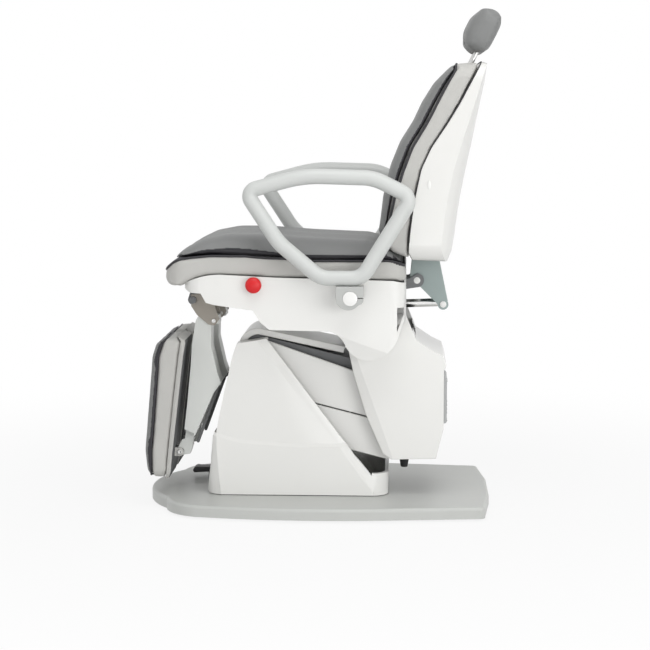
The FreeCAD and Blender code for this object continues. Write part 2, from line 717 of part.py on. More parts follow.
both_cheeks("arm_cover_upper", along_arm(upper_cheek_shares, size.cheek_back, size.cheek_length,
                                         -size.cheek_drop, size.cheek_rise))
both_cheeks("arm_cover_lower", along_arm(lower_cheek_shares, size.lower_cheek_start, size.lower_cheek_length,
                                         -size.cheek_drop - size.cheek_split - size.lower_cheek_depth,
                                         size.lower_cheek_depth))


# Upper link: a steel channel with a moulded cap over it

link_frame_outline = [
    by_link(NOUGHT, -size.link_drop),
    by_link(arm_span, -size.link_drop),
    by_link(arm_span, size.link_end_radius) + by_link(arm_span + size.link_end_radius, NOUGHT),
    by_link(arm_span * 0.9, size.link_top),
    by_link(size.link_end_radius, size.link_top),
    by_link(-size.link_end_radius, NOUGHT) + by_link(-size.link_end_radius * 0.6, size.link_end_radius * 0.8),
]
cap_side_shares = [
    (0, 0), (0.166, 0.857, 0.045, 0.58), (1, 1), (1, 0.72), (0.16, 0.6), (0.06, 0, 0.083, 0.36),
]
cap_hollow_shares = [
    (0.0148, -0.3), (0.0148, 0), (0.166, 0.794, 0.06, 0.545), (0.985, 0.937), (1.1, 0.937), (1.1, -0.3),
]
cap_post_starts = (0.28, 0.72)


def on_link(shares):
    points = []
    for row in shares:
        point = by_link(size.cap_front + size.cap_length * row[0], size.cap_bottom + size.cap_height * row[1])
        if len(row) == 4:
            point += by_link(size.cap_front + size.cap_length * row[2],
                             size.cap_bottom + size.cap_height * row[3])
        points.append(point)
    return points


upper_link = new_body("upper_link")
pad(upper_link, "YZ", [link_frame_outline], size.link_half * 2)
cut(upper_link, "YZ", [[by_link(-size.cut_reach, -size.cut_reach), by_link(size.cut_reach, -size.cut_reach),
                        by_link(size.cut_reach, size.link_top - size.link_wall),
                        by_link(-size.cut_reach, size.link_top - size.link_wall)]],
    (size.link_half - size.link_wall) * 2)
for start in cap_post_starts:
    roof = 0.794 + (0.937 - 0.794) * (start - 0.166) / (0.985 - 0.166)
    low = (size.link_top - size.cap_bottom - size.link_wall) / size.cap_height
    post = [(start, low), (start + 0.08, low), (start + 0.08, roof + 0.0139), (start, roof)]
    pad(upper_link, "YZ", [on_link(post)], size.link_half)
for spot in (link_foot, link_head):
    cut(upper_link, "YZ", [circle(*spot, size.link_shaft_radius + size.running_gap)], size.cut_reach)
keep(upper_link)

upper_link_cover = new_body("upper_link_cover")
pad(upper_link_cover, "YZ", [on_link(cap_side_shares)], size.cap_half * 2)
cut(upper_link_cover, "YZ", [on_link(cap_hollow_shares)], (size.cap_half - size.cap_wall) * 2)
keep(upper_link_cover)


# Linear actuators: a tube with an eye at its foot, and a rod with an eye at its head

def actuator(stem, side, foot, head, tube_radius, tube_wall, tube_length, rod_radius, rod_length,
             eye_radius, eye_half, pin_radius):
    """The rod runs with clearance in the tube; each half turns on the pin at its own end."""
    bore = tube_radius - tube_wall
    tube = new_body(f"{stem}_tube")
    turn_solid(tube, [(NOUGHT, eye_radius * 0.6), (tube_radius, eye_radius * 0.6), (tube_radius, tube_length),
                      (bore, tube_length), (bore, eye_radius * 1.3), (NOUGHT, eye_radius * 1.3)])
    pad(tube, "YZ", [circle(NOUGHT, NOUGHT, eye_radius)], eye_half * 2)
    cut(tube, "YZ", [circle(NOUGHT, NOUGHT, pin_radius + size.running_gap)], size.cut_reach)
    aim(tube, side, foot, head)
    keep(tube)
    rod = new_body(f"{stem}_rod")
    turn_solid(rod, [(NOUGHT, eye_radius * 0.6), (rod_radius, eye_radius * 0.6), (rod_radius, rod_length),
                     (NOUGHT, rod_length)])
    pad(rod, "YZ", [circle(NOUGHT, NOUGHT, eye_radius)], eye_half * 2)
    cut(rod, "YZ", [circle(NOUGHT, NOUGHT, pin_radius + size.running_gap)], size.cut_reach)
    aim(rod, side, head, foot)
    keep(rod)


actuator("lift_actuator", NOUGHT, lift_pin, lift_eye, size.lift_tube_radius, size.lift_tube_wall,
         size.lift_tube_length, size.lift_rod_radius, size.lift_rod_length, size.eye_radius, size.eye_half,
         size.pin_radius)


# Carriage cover: two side walls, a rear wall and a short floor, open towards the column

carriage_side_shares = [
    (0.008, 0.784), (0.067, 0.595), (0.2, 0.3), (0.369, 0.039), (0.455, 0), (0.906, 0.008),
    (0.98, 0.213), (0.98, 0.616), (1, 0.655, 1, 0.635), (0.973, 0.711), (0.867, 0.745), (0.698, 0.821),
    (0.588, 1), (0.086, 1), (0.008, 0.916),
]
carriage_hollow_shares = [
    (-0.2, -0.2), (0.79, -0.2), (0.79, 0.022), (0.893, 0.022), (0.961, 0.213), (0.961, 0.625),
    (0.978, 0.66), (0.958, 0.7), (0.855, 0.733), (0.682, 0.81), (0.569, 1.2), (-0.2, 1.2),
]
carriage_rear_y = size.carriage_front + size.carriage_length * 0.98


def on_carriage(shares):
    return lay(shares, size.carriage_front, size.carriage_length, size.carriage_bottom, size.carriage_height)


carriage_cover = new_body("carriage_cover")
pad(carriage_cover, "YZ", [on_carriage(carriage_side_shares)], size.carriage_half * 2)
cut(carriage_cover, "YZ", [on_carriage(carriage_hollow_shares)], (size.carriage_half - size.cover_wall) * 2)
cut(carriage_cover, "YZ", [box(size.tilt_pivot_y, size.rod_notch_bottom, size.cut_reach, size.cut_reach)],
    size.rod_notch_half * 2)
keep(carriage_cover)

rear_panel = new_body("rear_panel")
pad(rear_panel, "YZ", [box(carriage_rear_y, size.rear_panel_bottom, carriage_rear_y + size.rear_panel_thickness,
                           size.rear_panel_bottom + size.rear_panel_height)], size.rear_panel_half * 2)
round_edges(rear_panel, size.rear_panel_thickness / 2, lambda bounds: (
    near(bounds.YMin, carriage_rear_y + size.rear_panel_thickness)
    and near(bounds.YMax, carriage_rear_y + size.rear_panel_thickness)))
keep(rear_panel)


# Steel frame of the carriage: two plates, a floor with a tongue for the bumper, a rear plate and lugs

tilt_pivot = (size.tilt_pivot_y, size.tilt_pivot_z)
tilt_base = (size.tilt_base_y, size.tilt_base_z)
tilt_eye = (size.tilt_eye_y, size.tilt_eye_z)
frame_floor_top = size.carriage_bottom + size.cover_wall * 2.1 + size.carriage_floor
tilt_boss = size.tilt_shaft_radius * 1.8
frame_rear_y = size.carriage_plate_rear
carriage_plate = [
    (tilt_pivot[0] - tilt_boss, tilt_pivot[1]),
    (tilt_pivot[0] - tilt_boss, link_head[1] + size.pivot_boss),
    (link_head[0] - size.link_boss * 1.8, link_head[1]),
    (arm_head[0] - size.pivot_boss, arm_head[1]),
    (arm_head[0], arm_head[1] - size.pivot_boss),
    (arm_head[0] + size.pivot_boss, arm_head[1] - size.pivot_boss * 1.2),
    (arm_head[0] + size.pivot_boss * 1.1, frame_floor_top - size.carriage_floor),
    (frame_rear_y - size.cover_wall * 1.5, frame_floor_top - size.carriage_floor),
    (frame_rear_y, tilt_base[1] + size.tilt_shaft_radius * 2),
    (tilt_pivot[0] + tilt_boss * 1.5, tilt_pivot[1] - tilt_boss),
    (tilt_pivot[0] + tilt_boss, tilt_pivot[1],
     tilt_pivot[0] + tilt_boss * 1.2, tilt_pivot[1] - tilt_boss * 0.45),
]
carriage_plate[0] = carriage_plate[0] + (tilt_pivot[0], tilt_pivot[1] + tilt_boss)
carriage_frame = new_body("carriage_frame")
for side in (-1, 1):
    pad(carriage_frame, "YZ", [carriage_plate], size.frame_plate, upright_centre * side)
floor_front = arm_head[0] + size.pivot_boss * 1.1
frame_wide = size.frame_inner_half * 2 + size.frame_plate
pad(carriage_frame, "YZ", [box(floor_front, frame_floor_top - size.carriage_floor,
                               frame_rear_y - size.cover_wall * 1.5, frame_floor_top)], frame_wide)
pad(carriage_frame, "YZ", [box(frame_rear_y - size.cover_wall - size.frame_plate, frame_floor_top,
                               frame_rear_y - size.cover_wall, tilt_base[1] + size.tilt_shaft_radius)],
    frame_wide)
pad(carriage_frame, "YZ", [box(size.bumper_y - size.bumper_radius, frame_floor_top - size.carriage_floor,
                               floor_front + size.carriage_floor, frame_floor_top)], size.bumper_radius * 2)
tilt_lug = [
    (tilt_base[0], tilt_base[1] - size.small_eye_radius),
    (frame_rear_y - size.cover_wall, tilt_base[1] - size.small_eye_radius * 2),
    (frame_rear_y - size.cover_wall, tilt_base[1] + size.small_eye_radius),
    (tilt_base[0], tilt_base[1] + size.small_eye_radius),
]
tilt_lug[0] = tilt_lug[0] + (tilt_base[0] - size.small_eye_radius, tilt_base[1])
tilt_lug_offset = size.small_eye_half + size.side_gap / 2 + size.frame_plate / 2
for side in (-1, 1):
    pad(carriage_frame, "YZ", [tilt_lug], size.frame_plate, size.tilt_side + tilt_lug_offset * side)
panel_post_shares = (0.23, 0.42)
for level in panel_post_shares:
    for side in (-1, 1):
        post_z = size.carriage_bottom + size.carriage_height * level
        pad(carriage_frame, "YZ", [box(frame_rear_y - size.cover_wall * 2, post_z,
                                       carriage_rear_y - size.cover_wall * 1.25,
                                       post_z + size.cross_bar_depth)],
            size.cross_bar_depth, size.rear_panel_half * side)
cut(carriage_frame, "YZ", [circle(*arm_head, size.arm_shaft_radius)], size.cut_reach)
cut(carriage_frame, "YZ", [circle(*link_head, size.link_shaft_radius)], size.cut_reach)
cut(carriage_frame, "YZ", [circle(*tilt_pivot, size.tilt_shaft_radius)], size.cut_reach)
cut(carriage_frame, "YZ", [circle(*tilt_base, size.small_pin_radius)], size.cut_reach)
keep(carriage_frame)

rail_outer = (size.rail_inner_half + size.rail) * 2
tilt_pin_length = (tilt_lug_offset * 2) + size.frame_plate
group("carriage_shafts", [
    shaft(arm_head, size.arm_shaft_radius, frame_outer),
    shaft(link_head, size.link_shaft_radius, frame_outer),
    shaft(tilt_pivot, size.tilt_shaft_radius, rail_outer),
    shaft(tilt_base, size.small_pin_radius, tilt_pin_length, size.tilt_side),
])

bumper_top = frame_floor_top - size.carriage_floor
carriage_bumper = new_body("carriage_bumper")
turn_solid(carriage_bumper, [(NOUGHT, NOUGHT), (size.bumper_radius, NOUGHT),
                             (size.bumper_tip_radius, size.bumper_height), (NOUGHT, size.bumper_height)])
aim(carriage_bumper, NOUGHT, (size.bumper_y, bumper_top), (size.bumper_y, bumper_top - size.bumper_height))
keep(carriage_bumper)

actuator("tilt_actuator", size.tilt_side, tilt_base, tilt_eye, size.tilt_tube_radius, size.tilt_tube_wall,
         size.tilt_tube_length, size.tilt_rod_radius, size.tilt_rod_length, size.small_eye_radius,
         size.small_eye_half, size.small_pin_radius)


# Seat frame: two rails that end in ears at the tilt shaft and the knees, cross plates, lugs and a board

knee = (size.knee_y, size.knee_z)
back_pivot = (size.recline_y, size.recline_z)
back_tube_foot = (size.back_tube_y, size.back_tube_z)
back_eye = (size.back_eye_y, size.back_eye_z)
rest_shaft = (size.arm_shaft_y, size.arm_shaft_z)
ear_front = rest_shaft[0] - size.rest_shaft_radius - size.side_gap * 3
rail_side = [
    (size.rail_front + size.knee_lobe, size.rail_top),
    (knee[0] - size.knee_lobe, knee[1]),
    (knee[0] + size.knee_lobe, knee[1], knee[0], knee[1] - size.knee_lobe),
    (knee[0] + size.knee_lobe * 2, size.rail_bottom + size.rail),
    (ear_front - size.knee_lobe, size.rail_bottom),
    (ear_front, rest_shaft[1] - size.rest_shaft_radius * 1.5),
    (tilt_pivot[0] - tilt_boss, tilt_pivot[1]),
    (tilt_pivot[0] + tilt_boss, tilt_pivot[1], tilt_pivot[0], tilt_pivot[1] - tilt_boss),
    (tilt_eye[0] + tilt_boss, size.rail_bottom - size.rail),
    (size.rail_rear, size.rail_bottom),
    (size.rail_rear, size.rail_top),
]
rail_centre = size.rail_inner_half + size.rail / 2
seat_frame = new_body("seat_frame")
board_z = size.rail_top + size.board / 2
pad(seat_frame, "XY", [rounded_box(size.board_half, size.board_front, size.board_front + size.board_length,
                                   size.housing_corner)], size.board, board_z)
for side in (-1, 1):
    pad(seat_frame, "YZ", [rail_side], size.rail, rail_centre * side)
    knee_ear = [
        (size.rail_front + size.knee_lobe, size.rail_top), (knee[0] - size.knee_lobe, knee[1]),
        (knee[0] + size.knee_lobe, knee[1], knee[0], knee[1] - size.knee_lobe),
        (knee[0] + size.knee_lobe * 2, size.rail_top),
    ]
    pad(seat_frame, "YZ", [knee_ear], size.ear, size.inner_ear_side * side)
    back_ear = [
        (size.rail_rear - size.back_ear_radius, size.rail_top - size.back_ear_radius * 1.6),
        (back_pivot[0], back_pivot[1] - size.back_ear_radius),
        (back_pivot[0], back_pivot[1] + size.back_ear_radius, back_pivot[0] + size.back_ear_radius,
         back_pivot[1]),
        (size.rail_rear + size.back_ear_radius * 0.8, back_pivot[1] + size.back_ear_radius * 0.2),
        (size.rail_rear - size.back_ear_radius, size.rail_top),
    ]
    pad(seat_frame, "YZ", [back_ear], size.back_ear, (size.back_ear_inner + size.back_ear / 2) * side)
    tube_lug = [
        (back_tube_foot[0] - size.eye_radius, size.rail_top),
        (back_tube_foot[0] - size.eye_radius, back_tube_foot[1]),
        (back_tube_foot[0] + size.eye_radius, back_tube_foot[1],
         back_tube_foot[0], back_tube_foot[1] - size.eye_radius),
        (back_tube_foot[0] + size.eye_radius, size.rail_top),
    ]
    pad(seat_frame, "YZ", [tube_lug], size.lug, lug_centre * side)
    eye_lug = [
        (tilt_eye[0] - size.small_eye_radius, size.rail_top),
        (tilt_eye[0] - size.small_eye_radius, tilt_eye[1]),
        (tilt_eye[0] + size.small_eye_radius, tilt_eye[1], tilt_eye[0], tilt_eye[1] - size.small_eye_radius),
        (tilt_eye[0] + size.small_eye_radius, size.rail_top),
    ]
    pad(seat_frame, "YZ", [eye_lug], size.frame_plate, size.tilt_side + tilt_lug_offset * side)
cut(seat_frame, "YZ", [circle(*tilt_pivot, size.tilt_shaft_radius + size.running_gap)], size.cut_reach)
cut(seat_frame, "YZ", [circle(*rest_shaft, size.rest_shaft_radius)], size.cut_reach)
cut(seat_frame, "YZ", [circle(*back_pivot, size.recline_pin_radius)], size.cut_reach)
pad(seat_frame, "YZ", [circle(*back_tube_foot, size.pin_radius)], lug_outer)
pad(seat_frame, "YZ", [circle(*tilt_eye, size.small_pin_radius)], tilt_pin_length, size.tilt_side)
for side in (-1, 1):
    pad(seat_frame, "YZ", [circle(*knee, size.knee_radius)], size.knee_shaft_half * 2, size.leg_side * side)
keep(seat_frame)

group("back_hinge_pin", [shaft(back_pivot, size.recline_pin_radius, (size.back_ear_inner + size.back_ear) * 2)])


# Seat housing: a tub that steps down to the knuckle cheeks beside the carriage

housing_lower_shares = [
    (0.002, 0.829), (0.027, 0.787), (0.079, 0.778), (0.102, 0.671), (0.141, 0.644),
    (0.313, 0.583), (0.347, 0.444), (0.388, 0.356), (0.66, 0.343), (0.725, 0.199, 0.7, 0.284),
    (0.846, 0, 0.771, 0.046), (0.971, 0.315, 0.93, 0.12), (1, 0.528),
]
housing_rim_shares = [(1, 0.898), (0.941, 0.935), (0.42, 0.968), (0.163, 1), (0, 0.889, 0.075, 0.968)]
housing_hollow_shares = [
    (0.009, 0.889), (0.011, 0.838), (0.031, 0.81), (0.086, 0.8), (0.11, 0.692), (0.145, 0.667),
    (0.322, 0.604), (0.357, 0.462), (0.394, 0.379), (0.99, 0.379), (0.991, 1.3), (0.009, 1.3),
]
knuckle_hollow_shares = [
    (0.66, 0.4), (0.669, 0.355), (0.735, 0.219, 0.709, 0.296), (0.842, 0.026, 0.779, 0.067),
    (0.96, 0.335, 0.918, 0.132), (0.99, 0.54), (0.99, 0.62), (0.66, 0.62),
]


def on_housing(shares):
    return lay(shares, size.seat_front, size.seat_length, size.housing_bottom, size.housing_height)


seat_rear = size.seat_front + size.seat_length
housing_rim = on_housing(housing_rim_shares)
housing_outside = new_body("housing_outside")
pad(housing_outside, "YZ", [housing_rim[-1:] + on_housing(housing_lower_shares) + housing_rim[:-1]],
    size.seat_half * 2)
trim(housing_outside, "XY", rounded_box(size.seat_half, size.seat_front, seat_rear, size.housing_corner))
housing_cavity = new_body("housing_cavity")
pad(housing_cavity, "YZ", [on_housing(housing_hollow_shares)], (size.seat_half - size.housing_wall) * 2)
trim(housing_cavity, "XY", rounded_box(size.seat_half - size.housing_wall, size.seat_front + size.housing_wall,
                                       seat_rear - size.housing_wall, size.housing_corner - size.housing_wall))
cheek_room = size.seat_half - size.carriage_room_half - size.housing_wall * 2
for side in (-1, 1):
    cut(housing_outside, "YZ", [on_housing(knuckle_hollow_shares)], cheek_room,
        (size.carriage_room_half + size.housing_wall + cheek_room / 2) * side)
cut(housing_outside, "YZ", [box(size.carriage_room_front, size.housing_bottom - size.housing_wall,
                             size.cut_reach, size.carriage_room_top)], size.carriage_room_half * 2)
ear_slot = size.rail + size.side_gap * 2
for side in (-1, 1):
    for centre in (rail_centre, size.inner_ear_side):
        cut(housing_outside, "YZ", [box(knee[0] - size.knee_lobe - size.side_gap, knee[1] - size.knee_lobe,
                                     knee[0] + size.knee_lobe * 3, size.rail_top)], ear_slot, centre * side)
    cut(housing_outside, "YZ", [box(seat_rear - size.housing_corner, size.rail_bottom - size.rail,
                                 size.cut_reach, size.cut_reach)],
        size.back_ear + size.side_gap * 2, (size.back_ear_inner + size.back_ear / 2) * side)
cut(housing_outside, "YZ", [circle(*rest_shaft, size.rest_shaft_radius + size.soft_gap)], size.cut_reach)
stop_place = (size.stop_y, size.stop_z)
cut(housing_outside, "YZ", [circle(*stop_place, size.stop_stem_radius + size.soft_gap)],
    size.housing_corner, size.seat_half)
less("seat_housing", housing_outside, housing_cavity)


# Emergency stop: a collar on the housing and a mushroom head that travels inwards

stop_collar = new_body("estop_collar")
pad(stop_collar, "YZ", [circle(*stop_place, size.stop_collar_radius),
                        circle(*stop_place, size.stop_stem_radius + size.running_gap)],
    size.stop_collar, size.seat_half + size.stop_collar / 2)
keep(stop_collar)

stop_face = size.seat_half + size.stop_collar + size.stop_travel + size.side_gap
stop_button = new_body("estop_button")
turn_solid(stop_button, [
    (NOUGHT, -size.stop_stem), (size.stop_stem_radius, -size.stop_stem), (size.stop_stem_radius, NOUGHT),
    (size.stop_head_radius, NOUGHT), (size.stop_head_radius, size.stop_head * 0.4),
    (size.stop_head_radius * 0.7, size.stop_head, size.stop_head_radius * 0.93, size.stop_head * 0.8),
    (NOUGHT, size.stop_head),
])
stop_button.Placement = FreeCAD.Placement(FreeCAD.Vector(), FreeCAD.Rotation(FreeCAD.Vector(0, 0, 1), -90))
for axis, length in (("x", stop_face), ("y", size.stop_y), ("z", size.stop_z)):
    stop_button.setExpression(f"Placement.Base.{axis}", length.text)
keep(stop_button)


# Seat cushions: a firm border pad that follows the housing rim, and a crowned top pad on it

border_top_shares = [
    (1, 0.536, 1, 0.36), (0.91, 0.857, 0.969, 0.774), (0.592, 0.857),
    (0.258, 1, 0.429, 0.964), (0.09, 0.905, 0.16, 0.988), (0, 0.345, 0.024, 0.702),
    (0.049, 0, 0.008, 0.119), (0.078, 0.071),
]


def on_border(shares):
    return lay(shares, size.nose_front, size.border_length, size.border_bottom, size.border_height)


def raised(points, rise):
    moved = []
    for point in points:
        row = [point[0], point[1] + rise]
        if len(point) == 4:
            row += [point[2], point[3] + rise]
        moved.append(tuple(row))
    return moved


border_end = size.nose_front + size.border_length
seat_bottom = backwards(raised(housing_rim, size.soft_gap))
seat_border_pad = new_body("seat_border_pad")
border_side = on_border(border_top_shares) + seat_bottom
pad(seat_border_pad, "YZ", [border_side], size.seat_half * 2)
sway = size.side_gap * 2
border_half = [
    (size.seat_half - size.border_corner, size.nose_front),
    (size.seat_half, size.nose_front + size.border_corner,
     size.seat_half - size.border_corner * 0.29, size.nose_front + size.border_corner * 0.29),
    (size.seat_half, border_end - size.border_corner,
     size.seat_half - sway, (size.nose_front + border_end) / 2),
    (size.seat_half - size.border_corner, border_end,
     size.seat_half - size.border_corner * 0.29, border_end - size.border_corner * 0.29),
]
trim(seat_border_pad, "XY", both_sides(border_half))
keep(seat_border_pad)


def crowned(label, plane_half, curves, edges, stations):
    """A piece skinned through side views: curves gives pairs of places, from a backing line to the
    full line, and each station is a place across the width with the fullness there."""
    piece = new_body(label)
    sections = []
    for place, fullness in stations:
        thickness = edges + (1 - edges) * fullness
        outer = []
        inner = []
        for (back_y, back_z), (full_y, full_z) in curves:
            inner.append((back_y, back_z))
            outer.append((back_y + (full_y - back_y) * thickness, back_z + (full_z - back_z) * thickness))
        sections.append((plane_half * place, outer + inner[::-1]))
    loft(piece, "YZ", sections)
    return piece


# How full a cushion stands at its places across the width
cushion_shares = [(-1, 0), (-0.9, 0.62), (-0.55, 0.93), (0, 1), (0.55, 0.93), (0.9, 0.62), (1, 0)]
seat_top_shares = [
    (0, 0.06, 0.12), (0.041, 0.4, 0.45), (0.087, 0.5, 0.65), (0.158, 0.577, 0.87), (0.257, 0.585, 0.99),
    (0.386, 0.575, 0.99), (0.596, 0.478, 0.9), (0.835, 0.46, 0.835), (0.901, 0.463, 0.73),
    (0.95, 0.43, 0.536), (0.997, 0.28, 0.34),
]
seat_edge_share = 0.3
seat_curves = [
    ((size.top_front + size.top_length * along, size.top_bottom + size.top_height * low - size.cushion_sink),
     (size.top_front + size.top_length * along, size.top_bottom + size.top_height * high))
    for along, low, high in seat_top_shares
]
seat_top_form = crowned("seat_top_form", size.seat_half - size.top_inset, seat_curves, seat_edge_share,
                        cushion_shares)
trim(seat_top_form, "XY", rounded_box(size.seat_half - size.top_inset * 2, size.top_front + size.top_inset,
                                     size.top_front + size.top_length - size.top_inset, size.border_corner))
less("seat_top_pad", seat_top_form, seat_border_pad)


# Armrest shaft and the two loops that swing back on it, each held by a split clamp

group("armrest_shaft", [shaft(rest_shaft, size.rest_shaft_radius, size.rest_shaft_half * 2)])

rest_loop_shares = [
    (0, 0.855, 1), (0.2, 0.35, 7), (0.453, 0, 3), (0.7, 0, 2.2), (1, 0.8, 1.3), (0.77, 0.99, 6),
    (0.35, 1.01, 16),
]


def bent_loop(side):
    """A closed path of straight runs joined by tangent bends, in the plane X = side."""
    corners = [FreeCAD.Vector(side, number(size.rest_front + size.rest_length * u),
                              number(size.rest_bottom + size.rest_height * v))
               for u, v, _ in rest_loop_shares]
    bends = [number(size.rest_bend) * share for _, _, share in rest_loop_shares]
    trims = []
    for index, corner in enumerate(corners):
        back = (corners[index - 1] - corner).normalize()
        ahead = (corners[(index + 1) % len(corners)] - corner).normalize()
        half_turn = (math.pi - back.getAngle(ahead)) / 2
        set_back = bends[index] * math.tan(half_turn)
        to_centre = (back + ahead).normalize()
        middle = corner + to_centre * (bends[index] / math.cos(half_turn) - bends[index])
        trims.append((corner + back * set_back, middle, corner + ahead * set_back))
    edges = []
    for index, (start, middle, finish) in enumerate(trims):
        edges.append(Part.Arc(start, middle, finish).toShape())
        edges.append(Part.LineSegment(finish, trims[(index + 1) % len(trims)][0]).toShape())
    return edges


for side, word in ((1, "left"), (-1, "right")):
    path = bent_loop(side * number(size.rest_side))
    radius = number(size.rest_tube_radius)
    pieces = []
    for edge in path:
        start = edge.valueAt(edge.FirstParameter)
        ring = Part.Wire(Part.Circle(start, edge.tangentAt(edge.FirstParameter), radius).toShape())
        pieces.append(Part.Wire([edge]).makePipeShell([ring], True, False))
    loop = doc.addObject("Part::Feature", f"armrest_{word}")
    loop.Shape = pieces[0].multiFuse(pieces[1:]).removeSplitter()
    keep(loop, f"armrest_{word}")

    clamp = new_body(f"armrest_clamp_{word}")
    clamp_end = size.clamp_front + size.clamp_length
    clamp_top = size.clamp_bottom + size.clamp_height
    drum = size.rest_shaft_radius * 1.45
    clamp_side = [
        (size.clamp_front, clamp_top), (size.clamp_front, rest_shaft[1]),
        (rest_shaft[0] + drum * 0.7, rest_shaft[1] - drum * 0.7, rest_shaft[0] - drum * 0.7,
         rest_shaft[1] - drum * 0.98),
        (clamp_end, rest_shaft[1] - drum * 0.3), (clamp_end, clamp_top),
    ]
    pad(clamp, "YZ", [clamp_side], size.clamp_half * 2, size.rest_side * side)
    cut(clamp, "YZ", [circle(*rest_shaft, size.rest_shaft_radius + size.running_gap)], size.cut_reach)
    cut(clamp, "XZ", [circle(size.rest_side * side, size.rest_bottom, size.rest_tube_radius)], size.cut_reach)
    cut(clamp, "YZ", [box(rest_shaft[0] + size.rest_shaft_radius / 2, rest_shaft[1],
                          size.cut_reach, rest_shaft[1] + size.side_gap)], size.cut_reach)
    keep(clamp)


# Back: a curved shell, a firm border pad and a thin face pad, drawn through the same stations

back_stations_shares = [
    # seam line, shell rear, front of the border, front of the face
    ((0.309, 0.01), (0.642, 0), (0.121, 0.046), (0.113, 0.05)),
    ((0.272, 0.05), (0.683, 0.054), (0.023, 0.106), (0.008, 0.114)),
    ((0.279, 0.13), (0.706, 0.136), (0.03, 0.15), (0, 0.146)),
    ((0.298, 0.216), (0.728, 0.226), (0.053, 0.21), (0.019, 0.206)),
    ((0.328, 0.331), (0.758, 0.331), (0.094, 0.323), (0.045, 0.327)),
    ((0.381, 0.467), (0.808, 0.467), (0.174, 0.463), (0.109, 0.471)),
    ((0.475, 0.575), (0.853, 0.575), (0.26, 0.583), (0.2, 0.591)),
    ((0.615, 0.685), (0.894, 0.685), (0.389, 0.693), (0.328, 0.699)),
    ((0.74, 0.794), (0.936, 0.794), (0.487, 0.794), (0.415, 0.798)),
    ((0.845, 0.9), (0.977, 0.9), (0.592, 0.892), (0.525, 0.892)),
    ((0.943, 1), (1, 0.99), (0.725, 0.992), (0.694, 0.984)),
]


def on_back(share, shift=0):
    return (size.back_y + size.back_depth * share[0] + shift, size.back_z + size.back_height * share[1])


seam, rear, band, face = zip(*back_stations_shares)
shell_shares = [(-1, 0), (-0.85, 0.75), (-0.4, 0.97), (0, 1), (0.4, 0.97), (0.85, 0.75), (1, 0)]
shell_edge_share = 0.72
border_fullness_shares = [(-1, 0), (-0.93, 0.78), (-0.6, 0.97), (0, 1), (0.6, 0.97), (0.93, 0.78), (1, 0)]
border_edge_share = 0.84
face_edge_share = 0.25
back_front_view = rounded_box(size.back_half, size.back_z, size.back_z + size.back_height, size.back_corner)

back_shell = crowned("back_shell", size.back_half,
                     [(on_back(line), on_back(behind)) for line, behind in zip(seam, rear)],
                     shell_edge_share, shell_shares)
trim(back_shell, "XZ", back_front_view)
room_half_share = (size.back_half - size.shell_wall) / size.back_half
shell_room = []
for place, fullness in shell_shares:
    thickness = shell_edge_share + (1 - shell_edge_share) * fullness
    deep = []
    open_side = []
    for line, behind in zip(seam[1:-1], rear[1:-1]):
        edge = on_back(line)
        back = on_back(behind)
        deep.append((edge[0] + (back[0] - edge[0]) * thickness - size.shell_wall, back[1]))
        open_side.append((edge[0] - size.back_depth, back[1]))
    shell_room.append((size.back_half * room_half_share * place, deep + open_side[::-1]))
loft(back_shell, "YZ", shell_room, "Subtractive")
cut(back_shell, "XY", [box(-size.rail_inner_half, size.recline_y - size.back_ear_radius * 1.6,
                           size.rail_inner_half, size.back_eye_y)], size.back_ear_radius * 4, size.back_z)
keep(back_shell)

back_border_pad = crowned("back_border_pad", size.back_half - size.top_inset,
                          [(on_back(line, -size.soft_gap), on_back(front)) for line, front in zip(seam, band)],
                          border_edge_share, border_fullness_shares)
trim(back_border_pad, "XZ", back_front_view)

back_top_form = crowned("back_top_form", size.back_half - size.top_inset * 4,
                        [(on_back(front, size.cushion_sink), on_back(crest))
                         for front, crest in zip(band, face)],
                        face_edge_share, cushion_shares)
trim(back_top_form, "XZ", back_front_view)


# Back frame: two plates from the hinge up into the shell, the actuator pin and the headrest sockets

post_foot = (size.post_foot_y, size.post_foot_z)
post_head = (size.post_foot_y + size.post_run, size.post_foot_z + size.post_rise)
frame_right_shares = [(0.56, 0.02), (0.56, 0.2), (0.6, 0.42), (0.77, 0.6), (0.87, 0.76)]
strap = [
    (back_pivot[0] + size.back_ear_radius * 0.4, back_pivot[1] - size.back_ear_radius * 0.9),
    (size.back_eye_y - size.eye_radius, size.back_eye_z),
    (size.back_eye_y + size.eye_radius, size.back_eye_z,
     size.back_eye_y, size.back_eye_z - size.eye_radius),
]
strap += [on_back(share) for share in frame_right_shares]
strap.append(on_line(post_foot, post_head, size.socket_length / 3, -size.socket_radius))
strap.append(on_line(post_foot, post_head, size.socket_length / 3, NOUGHT))
strap += [on_back(line) for line in seam[8::-1]]
strap.append((back_pivot[0] - size.back_ear_radius, back_pivot[1] + size.back_ear_radius * 0.2))
strap[0] = strap[0] + (back_pivot[0] - size.back_ear_radius * 0.75, back_pivot[1] - size.back_ear_radius * 0.7)
back_straps = new_body("back_straps")
strap_centre = size.back_plate_inner + size.back_plate / 2
for side in (-1, 1):
    pad(back_straps, "YZ", [strap], size.back_plate, strap_centre * side)
for low, high in ((seam[4], seam[5]), (seam[6], seam[7])):
    crossbar = [on_back(low), on_back(low, size.back_plate), on_back(high, size.back_plate), on_back(high)]
    pad(back_straps, "YZ", [crossbar], size.rail_inner_half * 2)
cut(back_straps, "YZ", [circle(*back_pivot, size.recline_pin_radius + size.running_gap)], size.cut_reach)
pad(back_straps, "YZ", [circle(size.back_eye_y, size.back_eye_z, size.pin_radius)],
    (size.back_plate_inner + size.back_plate) * 2)
sockets = [back_straps]
bores = []
